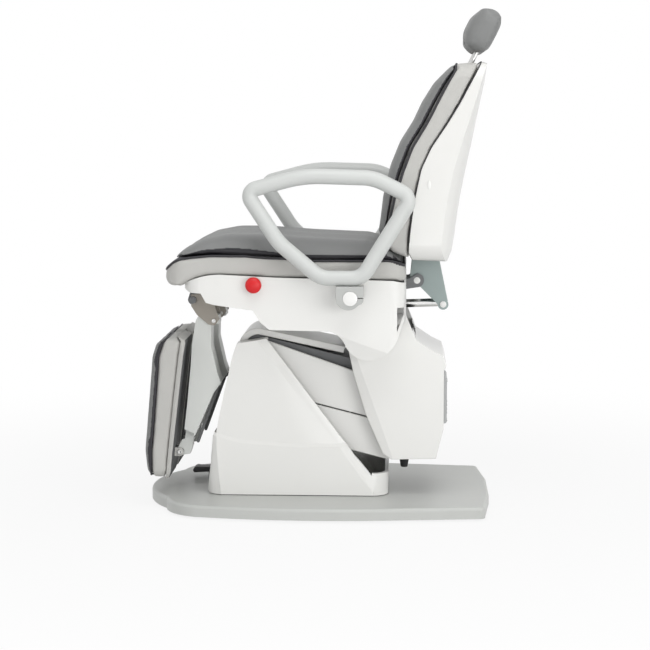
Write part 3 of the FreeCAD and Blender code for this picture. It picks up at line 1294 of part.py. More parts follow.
for side in (-1, 1):
    socket = new_body("socket")
    turn_solid(socket, box(NOUGHT, NOUGHT, size.socket_radius, size.socket_length))
    aim(socket, size.post_side * side, post_foot, post_head)
    sockets.append(socket)
    bore = new_body("bore")
    turn_solid(bore, box(NOUGHT, -size.post_foot_bore, size.post_radius + size.running_gap, size.cut_reach))
    aim(bore, size.post_side * side, post_foot, post_head)
    bores.append(bore)
joined = doc.addObject("Part::MultiFuse", "straps_and_sockets")
joined.Shapes = sockets
borings = doc.addObject("Part::MultiFuse", "borings")
borings.Shapes = bores
back_frame = doc.addObject("Part::Cut", "back_frame")
back_frame.Base = joined
back_frame.Tool = borings
keep(back_frame, "back_frame")

socket_slot = size.socket_radius + size.side_gap
slot_start = size.socket_length * -0.6
slot_level = size.socket_length * 0.5
slot = [on_line(post_foot, post_head, slot_start, socket_slot),
        on_line(post_foot, post_head, slot_start, -size.cut_reach),
        on_line(post_foot, post_head, slot_level, -size.cut_reach),
        on_line(post_foot, post_head, slot_level, -socket_slot),
        on_line(post_foot, post_head, size.cut_reach, -socket_slot),
        on_line(post_foot, post_head, size.cut_reach, socket_slot)]
for side in (-1, 1):
    cut(back_border_pad, "YZ", [slot], socket_slot * 2, size.post_side * side)
keep(back_border_pad)
less("back_top_pad", back_top_form, back_border_pad)

actuator("back_actuator", NOUGHT, back_tube_foot, back_eye, size.back_tube_radius, size.back_tube_wall,
         size.back_tube_length, size.back_rod_radius, size.back_rod_length, size.eye_radius, size.eye_half,
         size.pin_radius)


# Headrest on two posts that slide in the sockets

posts = []
for side in (-1, 1):
    post = new_body("post")
    turn_solid(post, box(NOUGHT, size.post_seat, size.post_radius, size.post_length))
    aim(post, size.post_side * side, post_foot, post_head)
    posts.append(post)
group("headrest_posts", posts)

head_shares = [
    ((0, 0.22), (0, 0.45)), ((0.08, 0.03), (0.08, 0.86)), ((0.35, 0), (0.35, 1)), ((0.65, 0), (0.65, 1)),
    ((0.92, 0.03), (0.92, 0.86)), ((1, 0.22), (1, 0.45)),
]
head_edge_share = 0.55


def on_head(share):
    return (size.head_along + size.head_length * share[0], size.head_thickness * share[1] - size.head_back)


headrest_pad = crowned("headrest_pad", size.head_half, [(on_head(low), on_head(high))
                                                        for low, high in head_shares],
                       head_edge_share, cushion_shares)
trim(headrest_pad, "XY", rounded_box(size.head_half, size.head_along, size.head_along + size.head_length,
                                     size.head_thickness / 2))
for side in (-1, 1):
    cut(headrest_pad, "XZ", [circle(size.post_side * side, NOUGHT, size.post_radius + size.soft_gap)],
        (size.post_length - size.head_along + size.soft_gap) * 2, size.head_along)
aim(headrest_pad, NOUGHT, post_foot, post_head)
keep(headrest_pad)


# Leg rests: a knee plate pair, an arm, a sliding extension, a release lever and a padded board

knee_plate_shares = [
    (0, 0.976), (0.329, 1), (0.507, 0.744), (0.808, 0.646), (1, 0.207), (0.836, 0),
    (0.616, 0.024), (0.205, 0.329), (0, 0.61),
]
leg_arm_shares = [
    (0.333, 0.962), (0.219, 0.753), (0.188, 0.595), (0.094, 0.304), (0, 0.057), (0.24, 0.025),
    (0.271, 0), (0.802, 0.361), (1, 0.446), (0.906, 0.525), (0.74, 0.753), (0.75, 0.918),
    (0.958, 0.937), (0.938, 1), (0.417, 1),
]
# Leg pad from its toe end up: rear of the board, front of the board, band, front of the face
leg_pad_shares = [
    ((0.56, 0.01), (0.46, 0.0), (0.2, 0.006), (0.14, 0.02)),
    ((0.611, 0.058), (0.51, 0.055), (0.145, 0.05), (0.05, 0.06)),
    ((0.66, 0.2), (0.56, 0.2), (0.15, 0.2), (0, 0.2)),
    ((0.806, 0.56), (0.7, 0.56), (0.25, 0.56), (0.11, 0.56)),
    ((0.935, 0.86), (0.83, 0.86), (0.34, 0.85), (0.2, 0.85)),
    ((0.99, 0.945), (0.885, 0.96), (0.46, 0.955), (0.3, 0.94)),
    ((0.98, 0.965), (0.8, 0.99), (0.56, 0.985), (0.5, 0.975)),
]
leg_pad_stations_shares = [(-1, 0), (-0.88, 0.7), (-0.5, 0.95), (0, 1), (0.5, 0.95), (0.88, 0.7), (1, 0)]
leg_layers = {
    "leg_pad_board": (0, 1, 1.0, NOUGHT), "leg_pad_border": (1, 2, 0.86, -size.soft_gap),
    "leg_face_form": (2, 3, 0.3, size.cushion_sink),
}
slide_top = (size.slide_top_y, size.slide_top_z)
slide_end = (size.slide_top_y + size.slide_run, size.slide_top_z + size.slide_fall)
ankle = (size.ankle_y, size.ankle_z)
lever_pin = (size.lever_pin_y, size.lever_pin_z)
lever_end = (size.lever_pin_y + size.lever_run, size.lever_pin_z + size.lever_fall)
lug_side = size.bar_half + size.side_gap + size.ankle_lug / 2
foot_bracket_shares = [(-1, 0), (0, -1, -0.7, -0.7), (2.4, -0.6), (3.1, 1.5), (2.6, 3.2), (0.6, 2.9)]


def slide_box(start, end, depth):
    return [on_line(slide_top, slide_end, start, -depth), on_line(slide_top, slide_end, end, -depth),
            on_line(slide_top, slide_end, end, depth), on_line(slide_top, slide_end, start, depth)]


def on_leg_pad(share, shift=0):
    return (size.leg_pad_front + size.leg_pad_depth * share[0] + shift,
            size.leg_pad_bottom + size.leg_pad_height * share[1])


for side, word in ((1, "left"), (-1, "right")):
    leg_x = size.leg_side * side
    plates = []
    for offset in (-1, 1):
        plate = new_body("plate")
        pad(plate, "YZ", [lay(knee_plate_shares, size.knee_plate_front, size.knee_plate_length,
                              size.knee_plate_bottom, size.knee_plate_height)], size.knee_plate,
            leg_x + (size.leg_half + size.knee_plate / 2) * offset)
        cut(plate, "YZ", [circle(*knee, size.knee_radius + size.running_gap)], size.cut_reach)
        plates.append(plate)
    group(f"knee_plate_{word}", plates)

    leg_arm = new_body(f"leg_arm_{word}")
    pad(leg_arm, "YZ", [lay(leg_arm_shares, size.leg_front, size.leg_length, size.leg_bottom,
                            size.leg_height)], size.leg_half * 2, leg_x)
    cut(leg_arm, "YZ", [slide_box(size.slot_start, size.cut_reach, size.bar_depth + size.slide_gap)],
        (size.bar_half + size.slide_gap) * 2, leg_x)
    slot_reach = size.lever_pin_radius * 4
    cut(leg_arm, "YZ", [box(lever_pin[0] - slot_reach, lever_pin[1] - size.cut_reach,
                            lever_pin[0] + size.cut_reach, lever_pin[1] + slot_reach)],
        size.lever_slot_half * 2, leg_x)
    pad(leg_arm, "YZ", [circle(*lever_pin, size.lever_pin_radius)], size.lever_slot_half * 3, leg_x)
    keep(leg_arm)

    lever = new_body(f"leg_release_lever_{word}")
    pad(lever, "YZ", [closed_capsule(lever_pin, on_line(lever_pin, lever_end, size.lever_length, NOUGHT),
                                     size.lever_half)], size.lever_half * 2, leg_x)
    pad(lever, "YZ", [circle(*lever_pin, size.lever_pin_radius * 2)], size.lever_half * 2, leg_x)
    cut(lever, "YZ", [circle(*lever_pin, size.lever_pin_radius + size.running_gap)], size.cut_reach)
    keep(lever)

    extension = new_body(f"leg_extension_{word}")
    pad(extension, "YZ", [slide_box(size.bar_start, size.bar_end, size.bar_depth)], size.bar_half * 2, leg_x)
    pad(extension, "YZ", [lay(foot_bracket_shares, ankle[0], size.ankle_boss, ankle[1], size.ankle_boss)],
        size.bar_half * 2, leg_x)
    pad(extension, "YZ", [circle(*ankle, size.ankle_pin_radius)], lug_side * 2 + size.ankle_lug, leg_x)
    keep(extension)

    front_view = shifted(rounded_box(size.leg_pad_half, size.leg_pad_bottom,
                                     size.leg_pad_bottom + size.leg_pad_height, size.leg_pad_corner), leg_x)
    places = [(leg_x / size.leg_pad_half + place, fullness) for place, fullness in leg_pad_stations_shares]
    layers = []
    for stem, (behind, front, edge_share, sink) in leg_layers.items():
        layer = crowned(f"{stem}_{word}", size.leg_pad_half,
                        [(on_leg_pad(row[behind], sink), on_leg_pad(row[front])) for row in leg_pad_shares],
                        edge_share, places)
        trim(layer, "XZ", front_view)
        layers.append(layer)
    board, border, face_form = layers
    lug_root = size.leg_pad_front + size.leg_pad_depth * 0.6
    ankle_lug = [(lug_root, ankle[1] - size.ankle_boss), (ankle[0], ankle[1] - size.ankle_boss),
                 (ankle[0], ankle[1] + size.ankle_boss, ankle[0] + size.ankle_boss, ankle[1]),
                 (lug_root, ankle[1] + size.ankle_boss)]
    for offset in (-1, 1):
        pad(board, "YZ", [ankle_lug], size.ankle_lug, leg_x + lug_side * offset)
    cut(board, "YZ", [circle(*ankle, size.ankle_pin_radius + size.running_gap)], size.cut_reach, leg_x)
    keep(board)
    keep(border)
    less(f"leg_pad_face_{word}", face_form, border)


# Every feature has to stand, and every sub-part to be a sound solid, before anything is written
doc.recompute()
failed = [item.Name for item in doc.Objects if {"Invalid", "Error"} & set(item.State)]
if failed:
    raise RuntimeError(f"These objects failed: {failed}")
os.makedirs("parts", exist_ok=True)
for node in nodes:
    if node.Shape.isNull() or not node.Shape.isValid():
        raise RuntimeError(f"{node.Label} is not a sound shape")
for node in nodes:
    node.Shape.exportStep(f"parts/{node.Label}.step")
    print(node.Label, len(node.Shape.Solids), round(node.Shape.Volume / 1000, 1))
print(len(nodes), "sub-parts")
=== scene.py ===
# %% [markdown]
# # A podiatry chair
#
# The chair stands on a floor plate. A column holds a parallelogram lift, which carries the tilting seat,
# the reclining back, two leg rests and two swing-up armrests. Its engineering model is the fixed frame
# here: every Blender piece sits on it, in metres, and rides on one of its bodies.

# %% Load the frame
import json
import math

import bpy
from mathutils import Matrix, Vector
from mathutils.bvhtree import BVHTree


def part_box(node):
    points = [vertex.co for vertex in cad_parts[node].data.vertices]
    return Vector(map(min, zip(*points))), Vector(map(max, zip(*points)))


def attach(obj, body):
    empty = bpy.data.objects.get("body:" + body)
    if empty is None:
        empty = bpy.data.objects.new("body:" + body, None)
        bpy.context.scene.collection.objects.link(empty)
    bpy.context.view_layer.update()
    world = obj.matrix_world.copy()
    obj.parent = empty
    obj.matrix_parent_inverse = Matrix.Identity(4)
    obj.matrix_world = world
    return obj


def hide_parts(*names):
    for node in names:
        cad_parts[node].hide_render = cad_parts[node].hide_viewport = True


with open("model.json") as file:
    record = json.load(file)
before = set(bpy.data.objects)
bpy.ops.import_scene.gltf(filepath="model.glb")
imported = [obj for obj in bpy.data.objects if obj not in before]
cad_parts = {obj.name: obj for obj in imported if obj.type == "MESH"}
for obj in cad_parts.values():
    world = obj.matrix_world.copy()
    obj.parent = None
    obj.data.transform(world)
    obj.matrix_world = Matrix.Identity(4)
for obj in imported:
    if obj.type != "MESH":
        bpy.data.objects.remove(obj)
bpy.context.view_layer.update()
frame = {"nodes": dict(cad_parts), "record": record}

# %% [markdown]
# ## Camera
#
# The picture was taken from far off, square to the chair's left side, a little from above. A long lens
# keeps the two sides of the base almost parallel, so the camera stands nearly five metres away. Its place
# could be found by eye, but it was worked out from the parallel edges of the plate, the seat and the
# column, so that the chair fills the frame as it does in the picture.

# %% Camera
camera_data = bpy.data.cameras.new("camera")
camera_data.sensor_width = 36
camera_data.lens = 99.3
camera = bpy.data.objects.new("camera", camera_data)
bpy.context.collection.objects.link(camera)
camera.location = (4.69763, 0.21419, 1.02378)
yaw, pitch = math.radians(2.6317), math.radians(6.8062)
looking = Vector((-math.cos(yaw) * math.cos(pitch), -math.sin(yaw) * math.cos(pitch), -math.sin(pitch)))
camera.rotation_euler = looking.to_track_quat("-Z", "Y").to_euler()
bpy.context.scene.camera = camera
bpy.context.scene.view_settings.view_transform = "Standard"
print("camera looks along", tuple(round(value, 3) for value in looking))

# %% [markdown]
# ## Working by hand in code
#
# Operators act on whatever is selected, so each step first deselects everything. In edit mode, faces and
# edges are picked by where they are or which way they face, as an eye would pick them. Both pickers stay
# in edit mode, ready for the next operator.

# %% Selecting
def only(piece):
    """Make this piece the only selected one."""
    if bpy.context.mode != "OBJECT":
        bpy.ops.object.mode_set(mode="OBJECT")
    bpy.ops.object.select_all(action="DESELECT")
    piece.select_set(True)
    bpy.context.view_layer.objects.active = piece


def pick_faces(piece, test):
    """Select the faces whose centre and normal pass the test."""
    only(piece)
    bpy.ops.object.mode_set(mode="EDIT")
    bpy.ops.mesh.select_mode(type="FACE")
    bpy.ops.mesh.select_all(action="DESELECT")
    bpy.ops.object.mode_set(mode="OBJECT")
    for face in piece.data.polygons:
        face.select = bool(test(face.center, face.normal))
    bpy.ops.object.mode_set(mode="EDIT")


def pick_edges(piece, test):
    """Select the edges whose ends, and the turn between their faces, pass the test."""
    only(piece)
    bpy.ops.object.mode_set(mode="EDIT")
    bpy.ops.mesh.select_mode(type="EDGE")
    bpy.ops.mesh.select_all(action="DESELECT")
    bpy.ops.object.mode_set(mode="OBJECT")
    faces = {}
    for polygon in piece.data.polygons:
        for key in polygon.edge_keys:
            faces.setdefault(key, []).append(polygon.normal.copy())
    for edge in piece.data.edges:
        pair = faces.get(tuple(sorted(edge.vertices)), [])
        turn = math.degrees(pair[0].angle(pair[1], 0.0)) if len(pair) == 2 else 0.0
        edge.select = bool(test([piece.data.vertices[index].co for index in edge.vertices], turn))
    print(piece.name, "edges picked", sum(edge.select for edge in piece.data.edges))
    bpy.ops.object.mode_set(mode="EDIT")


def finish_modifier(piece, kind, **settings):
    """Add a modifier, set it and apply it."""
    only(piece)
    modifier = piece.modifiers.new(kind.lower(), kind)
    for key, value in settings.items():
        setattr(modifier, key, value)
    bpy.ops.object.modifier_apply(modifier=modifier.name)


def tidy(piece, angle=32):
    """Join doubles, turn the faces outwards and smooth what meets at less than the angle."""
    only(piece)
    bpy.ops.object.transform_apply(location=True, rotation=True, scale=True)
    bpy.ops.object.mode_set(mode="EDIT")
    bpy.ops.mesh.select_all(action="SELECT")
    bpy.ops.mesh.remove_doubles(threshold=0.00002)
    bpy.ops.mesh.normals_make_consistent(inside=False)
    bpy.ops.object.mode_set(mode="OBJECT")
    bpy.ops.object.shade_smooth_by_angle(angle=math.radians(angle))
    return piece


def place(piece, body, finish, slot, *nodes):
    """Name the body that a finished piece rides on, its finish and the nodes it stands for."""
    if finish is not None:
        piece.data.materials.clear()
        piece.data.materials.append(finish)
    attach(piece, body)
    if nodes:
        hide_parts(*nodes)
    return piece


# %% [markdown]
# ## Finishes
#
# The chair is painted steel and glossy moulded covers, with vinyl upholstery and a few rubber, steel and
# chrome pieces. A picture wrapped round a piece would bring its own light and a seam, so each finish is a
# small sum of textures that are worked out from the place on the piece. A wire class lets the sums be
# written as sums.

# %% Shader sums
class Wire:
    """One socket of a material, ready for sums."""

    def __init__(self, finish, socket):
        self.finish, self.socket = finish, socket

    def sum(self, operation, *values):
        return self.finish.node("ShaderNodeMath", {"operation": operation}, dict(enumerate(values)))

    def __add__(self, other):
        return self.sum("ADD", self, other)

    def __sub__(self, other):
        return self.sum("SUBTRACT", self, other)

    def __rsub__(self, other):
        return self.sum("SUBTRACT", other, self)

    def __mul__(self, other):
        return self.sum("MULTIPLY", self, other)

    __radd__ = __add__
    __rmul__ = __mul__


class Finish:
    """A material with one shader, whose constants are set on its own sockets."""

    def __init__(self, name, **constants):
        self.material = bpy.data.materials.new(name)
        self.material.use_nodes = True
        self.tree = self.material.node_tree
        self.shader = self.tree.nodes["Principled BSDF"]
        for key, value in constants.items():
            self.shader.inputs[key.replace("_", " ").title().replace("Ior", "IOR")].default_value = value

    def node(self, kind, settings=(), inputs=(), output=0):
        """A node with its settings, then the values or links of its sockets."""
        made = self.tree.nodes.new(kind)
        for key, value in dict(settings).items():
            setattr(made, key, value)
        for key, value in dict(inputs).items():
            if isinstance(value, Wire):
                self.tree.links.new(value.socket, made.inputs[key])
            else:
                made.inputs[key].default_value = value
        return Wire(self, made.outputs[output])

    def place(self, stretch=(1, 1, 1)):
        """Where a point is on the piece, in metres, stretched for grain."""
        spot = self.node("ShaderNodeTexCoord", output="Object")
        return self.node("ShaderNodeMapping", {}, {"Vector": spot, "Scale": stretch})

    def noise(self, scale, detail=3.0, stretch=(1, 1, 1), roughness=0.5):
        return self.node("ShaderNodeTexNoise", {"noise_dimensions": "3D"},
                         {"Vector": self.place(stretch), "Scale": scale, "Detail": detail,
                          "Roughness": roughness}, output="Fac")

    def tint(self, amount, colour, other):
        """From one colour to another by an amount that varies over the surface."""
        mix = self.tree.nodes.new("ShaderNodeMix")
        mix.data_type = "RGBA"
        self.tree.links.new(amount.socket, mix.inputs[0])
        # Sockets 6 and 7 are a colour mix's two colours, and output 2 is its result.
        mix.inputs[6].default_value = (*colour, 1)
        mix.inputs[7].default_value = (*other, 1)
        return Wire(self, mix.outputs[2])

    def bump(self, height, distance, strength=1.0):
        return self.node("ShaderNodeBump", {},
                         {"Height": height, "Distance": distance, "Strength": strength}, output="Normal")

    def feed(self, socket, wire):
        self.tree.links.new(wire.socket, self.shader.inputs[socket])


def shade(colour, share):
    return tuple(min(1, value * share) for value in colour)


# %% [markdown]
# Moulded covers have a faint orange-peel under their gloss. Painted steel has a finer, sandier grain.
# Both change tone very slightly over a hand's width, which keeps a large plain face from looking flat.

# %% Moulded and painted finishes
def moulded(name, colour, roughness, coat=0.0, peel=60, depth=0.00001):
    """Smooth plastic or paint: slight drift of tone, orange-peel, uneven gloss."""
    finish = Finish(name, coat_weight=coat, coat_roughness=0.12, ior=1.5)
    drift = finish.noise(scale=7, detail=2)
    finish.feed("Base Color", finish.tint(drift, shade(colour, 0.99), shade(colour, 1.006)))
    finish.feed("Roughness", finish.noise(scale=24, detail=4) * 0.04 + (roughness - 0.02))
    finish.feed("Normal", finish.bump(finish.noise(scale=peel, detail=2), depth))
    return finish.material


def powder(name, colour, roughness, metal=0.0, grain=900, depth=0.00012):
    """Powder-coated steel: a fine sandy grain."""
    finish = Finish(name, metallic=metal, ior=1.5)
    drift = finish.noise(scale=9, detail=3)
    finish.feed("Base Color", finish.tint(drift, shade(colour, 0.955), shade(colour, 1.035)))
    finish.feed("Roughness", finish.noise(scale=grain / 3, detail=3) * 0.16 + (roughness - 0.08))
    finish.feed("Normal", finish.bump(finish.noise(scale=grain, detail=3), depth))
    return finish.material


white_shell = moulded("white_shell", (0.775, 0.773, 0.75), roughness=0.3, coat=0.2)
soft_grey_arm = moulded("soft_grey_arm", (0.60, 0.615, 0.60), roughness=0.42, peel=90, depth=0.00002)
clamp_grey = powder("clamp_grey", (0.47, 0.48, 0.465), roughness=0.4, depth=0.00005)
panel_grey = moulded("panel_grey", (0.42, 0.43, 0.43), roughness=0.45)
plate_grey = powder("plate_grey", (0.52, 0.53, 0.51), roughness=0.38, depth=0.00008)
lever_grey = powder("lever_grey", (0.14, 0.142, 0.146), roughness=0.45, depth=0.00006)
stop_red = moulded("stop_red", (0.66, 0.006, 0.010), roughness=0.42)
collar_grey = moulded("collar_grey", (0.74, 0.735, 0.69), roughness=0.4)
cap_white = moulded("cap_white", (0.83, 0.83, 0.81), roughness=0.3, coat=0.2)
leg_grey = powder("leg_grey", (0.68, 0.695, 0.67), roughness=0.36, depth=0.00006)
knee_beige = powder("knee_beige", (0.33, 0.30, 0.26), roughness=0.42, depth=0.00006)
bracket_green = powder("bracket_green", (0.32, 0.385, 0.375), roughness=0.4, depth=0.00006)
frame_paint = powder("frame_paint", (0.16, 0.165, 0.17), roughness=0.45)
board_dark = powder("board_dark", (0.10, 0.102, 0.105), roughness=0.6, grain=700)
print("moulded and painted finishes", len(bpy.data.materials))

# %% [markdown]
# Rubber and the pedal are almost black and dull. Steel shafts show turning marks round them, and the
# actuator rods are polished chrome, so only their fine scratches break the reflections.

# %% Rubber, steel and chrome
def rubber(name, colour, roughness=0.62):
    finish = Finish(name, ior=1.45)
    drift = finish.noise(scale=30, detail=3)
    finish.feed("Base Color", finish.tint(drift, shade(colour, 0.8), shade(colour, 1.25)))
    finish.feed("Roughness", finish.noise(scale=160, detail=3) * 0.18 + (roughness - 0.09))
    finish.feed("Normal", finish.bump(finish.noise(scale=1100, detail=2), 0.00015))
    return finish.material


def bright(name, colour, roughness, stretch=(1, 1, 1), marks=600, depth=0.00002):
    finish = Finish(name, metallic=1.0)
    lines = finish.noise(scale=marks, detail=3, stretch=stretch)
    finish.feed("Base Color", finish.tint(lines, shade(colour, 0.92), colour))
    finish.feed("Roughness", lines * 0.14 + (roughness - 0.07))
    finish.feed("Normal", finish.bump(lines, depth))
    return finish.material


black_rubber = rubber("black_rubber", (0.022, 0.022, 0.023))
black_plastic = rubber("black_plastic", (0.03, 0.03, 0.031), roughness=0.5)
turned_steel = bright("turned_steel", (0.62, 0.62, 0.61), roughness=0.32, stretch=(1, 0.05, 0.05))
tube_grey = bright("tube_grey", (0.5, 0.51, 0.52), roughness=0.42, stretch=(1, 0.2, 0.2))
chrome = bright("chrome", (0.86, 0.86, 0.85), roughness=0.12, stretch=(0.2, 1, 1), marks=300,
                depth=0.000006)

# %% [markdown]
# The upholstery is vinyl. Its grain is a net of small pebbles, a millimetre or two wide, with fine
# creases between them. The pebbles come from a cell texture, broken by noise so that no rows show.

# %% Vinyl
def vinyl(name, colour, roughness=0.46, pebble=560, depth=0.00022):
    finish = Finish(name, ior=1.48)
    warp = finish.noise(scale=240, detail=3)
    spot = finish.place()
    pushed = finish.node("ShaderNodeVectorMath", {"operation": "ADD"}, {
        0: spot, 1: finish.node("ShaderNodeVectorMath", {"operation": "SCALE"}, {
            0: finish.node("ShaderNodeCombineXYZ", {}, {0: warp, 1: warp, 2: warp}), "Scale": 0.0016})})
    cells = finish.node("ShaderNodeTexVoronoi", {"feature": "DISTANCE_TO_EDGE"},
                        {"Vector": pushed, "Scale": pebble}, output="Distance")
    crease = finish.node("ShaderNodeMapRange", {"interpolation_type": "SMOOTHSTEP"},
                         {"Value": cells, "From Min": 0.0, "From Max": 0.22})
    drift = finish.noise(scale=11, detail=3)
    # The creases between the pebbles are painted slightly darker as painted shade, mixed with a random
    # drift of tone.
    crease_shade_and_drift = crease * 0.35 + drift * 0.65
    finish.feed("Base Color", finish.tint(crease_shade_and_drift, shade(colour, 0.93), shade(colour, 1.04)))
    finish.feed("Roughness", (1 - crease) * 0.12 + drift * 0.08 + (roughness - 0.06))
    finish.feed("Normal", finish.bump(crease + finish.noise(scale=90, detail=2) * 0.8, depth))
    return finish.material


border_vinyl = vinyl("border_vinyl", (0.55, 0.545, 0.52), roughness=0.42)
top_vinyl = vinyl("top_vinyl", (0.222, 0.226, 0.224), roughness=0.44)
band_vinyl = vinyl("band_vinyl", (0.022, 0.021, 0.026), roughness=0.38)
print("all finishes", [material.name for material in bpy.data.materials][-6:])

# %% [markdown]
# The frame's own nodes keep their shapes where these are right, such as the steel inside. Each still gets
# its finish, by the slot that the record gives it.

# %% Finishes of the frame's own nodes
slot_finish = {
    "plate_grey": plate_grey, "glide_rubber": black_rubber, "shell_white": white_shell,
    "seal_black": black_rubber, "frame_steel": frame_paint, "shaft_steel": turned_steel,
    "pedal_black": black_plastic, "actuator_grey": tube_grey, "rod_chrome": chrome,
    "panel_grey": panel_grey, "bumper_black": black_rubber, "stop_red": stop_red,
    "collar_black": collar_grey, "border_vinyl": border_vinyl, "top_vinyl": top_vinyl,
    "armrest_grey": soft_grey_arm,
    "clamp_grey": clamp_grey, "bracket_green": bracket_green, "knee_beige": knee_beige,
    "leg_grey": leg_grey, "board_dark": board_dark, "lever_dark": lever_grey,
}
for row in frame["record"]["subparts"]:
    node = frame["nodes"][row["node"]]
    node.data.materials.clear()
    node.data.materials.append(slot_finish[row["material_slot"]])
print("frame nodes finished", len(frame["nodes"]))

# %% [markdown]
# ## Copies that can be worked
#
# A node comes as loose triangles. The covers could be drawn again from primitives, but a copy keeps the
# size and the joints' places exact. The copy is joined and its flat faces are made whole, and then its
# edges can be rounded as a press or a mould would round them.

# %% Copy and round
def copy_of(node, name):
    """A workable copy of a frame node."""
    piece = bpy.data.objects.new(name, frame["nodes"][node].data.copy())
    bpy.context.collection.objects.link(piece)
    only(piece)
    bpy.ops.mesh.customdata_custom_splitnormals_clear()
    bpy.ops.object.mode_set(mode="EDIT")
    bpy.ops.mesh.select_all(action="SELECT")
    bpy.ops.mesh.remove_doubles(threshold=0.00002)
    bpy.ops.mesh.dissolve_limited(angle_limit=math.radians(0.5))
    bpy.ops.object.mode_set(mode="OBJECT")
    return piece


def soften(piece, width, segments=3, sharper=30):
    """Round every edge where the faces turn by more than the given angle."""
    finish_modifier(piece, "BEVEL", width=width, segments=segments, limit_method="ANGLE",
                    angle_limit=math.radians(sharper))
    return piece


# %% [markdown]
# Some covers have a chamfered strip or a shallow crease that runs across a plain wall. A strip could be cut
# out as a solid, but the wall would then be in two parts. Here a plane scores an edge all round the copy,
# and what lies beyond the score leans in by a few millimetres.

# %% Score and lean
def score(piece, spot, normal):
    """Cut an edge all round the piece where a plane crosses it."""
    only(piece)
    bpy.ops.object.mode_set(mode="EDIT")
    bpy.ops.mesh.select_all(action="SELECT")
    bpy.ops.mesh.bisect(plane_co=spot, plane_no=normal)
    bpy.ops.object.mode_set(mode="OBJECT")


def shift(piece, move):
    """Move each vertex by what the rule gives for its place."""
    for vertex in piece.data.vertices:
        vertex.co += Vector(move(vertex.co))


def clamp(value):
    return min(1.0, max(0.0, value))


def along(a, b, y, z):
    """How far a place lies beyond the line from a to b, in metres, seen from the side."""
    run, rise = b[0] - a[0], b[1] - a[1]
    return (rise * (y - a[0]) - run * (z - a[1])) / math.hypot(run, rise)


def score_along(piece, a, b, offset=0.0):
    """Score the line from a to b, seen from the side, or one that lies before it by the offset."""
    length = math.hypot(b[0] - a[0], b[1] - a[1])
    score(piece, (0, a[0] - offset, a[1]), (0, (b[1] - a[1]) / length, -(b[0] - a[0]) / length))


def lean(piece, a, b, band, depth, holds, fade=lambda spot: 1.0):
    """Lean the sides inwards beyond a line, over a band, like a chamfer.

    The rule holds says which places may move, and fade gives the share of the depth that a place gets.
    """
    def move(spot):
        share = clamp(along(a, b, spot.y, spot.z) / band) * fade(spot)
        return (-math.copysign(depth * share, spot.x) if holds(spot) else 0.0, 0, 0)
    shift(piece, move)


# %% [markdown]
# Smooth shading would blur a shallow crease and make a flat wall look swollen beside its round edges. So
# the crease's edges are marked sharp, and the large faces are made to set the shading.

# %% Creases, second finishes and shading
def darken(piece, test, *finishes):
    """Give the faces that pass the test the second of the finishes, and the others the first."""
    piece.data.materials.clear()
    for finish in finishes:
        piece.data.materials.append(finish)
    for face in piece.data.polygons:
        face.material_index = 1 if test(face.center, face.normal) else 0


def crisp(piece, test):
    """Mark the edges that pass the test as sharp, so that a shallow crease still shows."""
    corners = piece.data.vertices
    for edge in piece.data.edges:
        if all(test(corners[index].co) for index in edge.vertices):
            edge.use_edge_sharp = True


def crisp_along(piece, a, b, near=0.0006):
    """Mark the edges that lie on the line from a to b, seen from the side."""
    crisp(piece, lambda spot: abs(along(a, b, spot.y, spot.z)) < near)


def even(piece):
    """Let the large faces set the shading, so that they look flat beside their rounded edges."""
    finish_modifier(piece, "WEIGHTED_NORMAL", keep_sharp=True)
    return piece


def rounded(node, name, body, finish, slot, width, segments=3, sharper=30):
    """A node's copy with rounded edges, standing for the node."""
    piece = copy_of(node, name)
    soften(piece, width, segments, sharper)
    even(tidy(piece, angle=34))
    print(name, len(piece.data.polygons), "faces")
    return place(piece, body, finish, slot, node)


# %% [markdown]
# ## Floor plate and column
#
# The floor plate is a shallow casting with a broad soft edge, and it stands on rubber glides. Its outline
# is right in the frame, so only its edges are rounded.

# %% Floor plate
rounded("base_plate", "floor_plate", "base", plate_grey, "plate_grey", width=0.0025, segments=3, sharper=40)
rounded("base_glides", "floor_glides", "base", black_rubber, "glide_rubber", width=0.0015, segments=2)

# %% [markdown]
# The column cover is one moulding. Its rear edges slope down, with a bright chamfered strip beside them,
# and its foot flares a little below a shallow crease. The crease isn't level, so two lines are scored flat
# and then bent to its curve, which is given as places along the chair and heights.

# %% Column cover
column = copy_of("pedestal_cover", "column_cover")
strip_edge = ((0.056, 0.140), (-0.162, 0.427))
strip_width, strip_depth, strip_foot_z, strip_fade = 0.026, 0.011, 0.096, 0.03
crease_at = ((-0.300, 0.202), (-0.214, 0.177), (-0.059, 0.167), (0.168, 0.172))
crease_top, crease_foot = 0.172, 0.163
crease_half = (crease_top - crease_foot) / 2
crease_middle = crease_foot + crease_half
side_x = 0.1


def level(curve, y):
    """The height of a curve at a place along the chair."""
    for (y0, z0), (y1, z1) in zip(curve, curve[1:]):
        if y <= y1 or (y1, z1) == curve[-1]:
            return z0 + (z1 - z0) * clamp((y - y0) / (y1 - y0))


def on_side(spot):
    """Whether a place is on one of a cover's side walls."""
    return abs(spot.x) > side_x


score_along(column, *strip_edge)
lean(column, *strip_edge, band=strip_width, depth=strip_depth, holds=on_side,
     fade=lambda spot: clamp((spot.z - strip_foot_z) / strip_fade))
for place_y in (-0.26, -0.214, -0.14, -0.059, 0.05):
    score(column, (0, place_y, 0), (0, 1, 0))
for place_z in (crease_top, crease_foot):
    score(column, (0, 0, place_z), (0, 0, 1))


def to_crease(spot):
    """The scored pair of lines, bent to the crease's own height."""
    near = abs(spot.z - crease_middle) < crease_half + 0.001
    return (0, 0, level(crease_at, spot.y) - crease_middle if near else 0)


def flare(spot):
    """The foot below the crease stands a little proud at the sides and the front."""
    if not 0.045 < spot.z < level(crease_at, spot.y) - 0.003:
        return (0, 0, 0)
    return (math.copysign(0.0022, spot.x) if on_side(spot) else 0, -0.002 if spot.y < -0.2 else 0, 0)


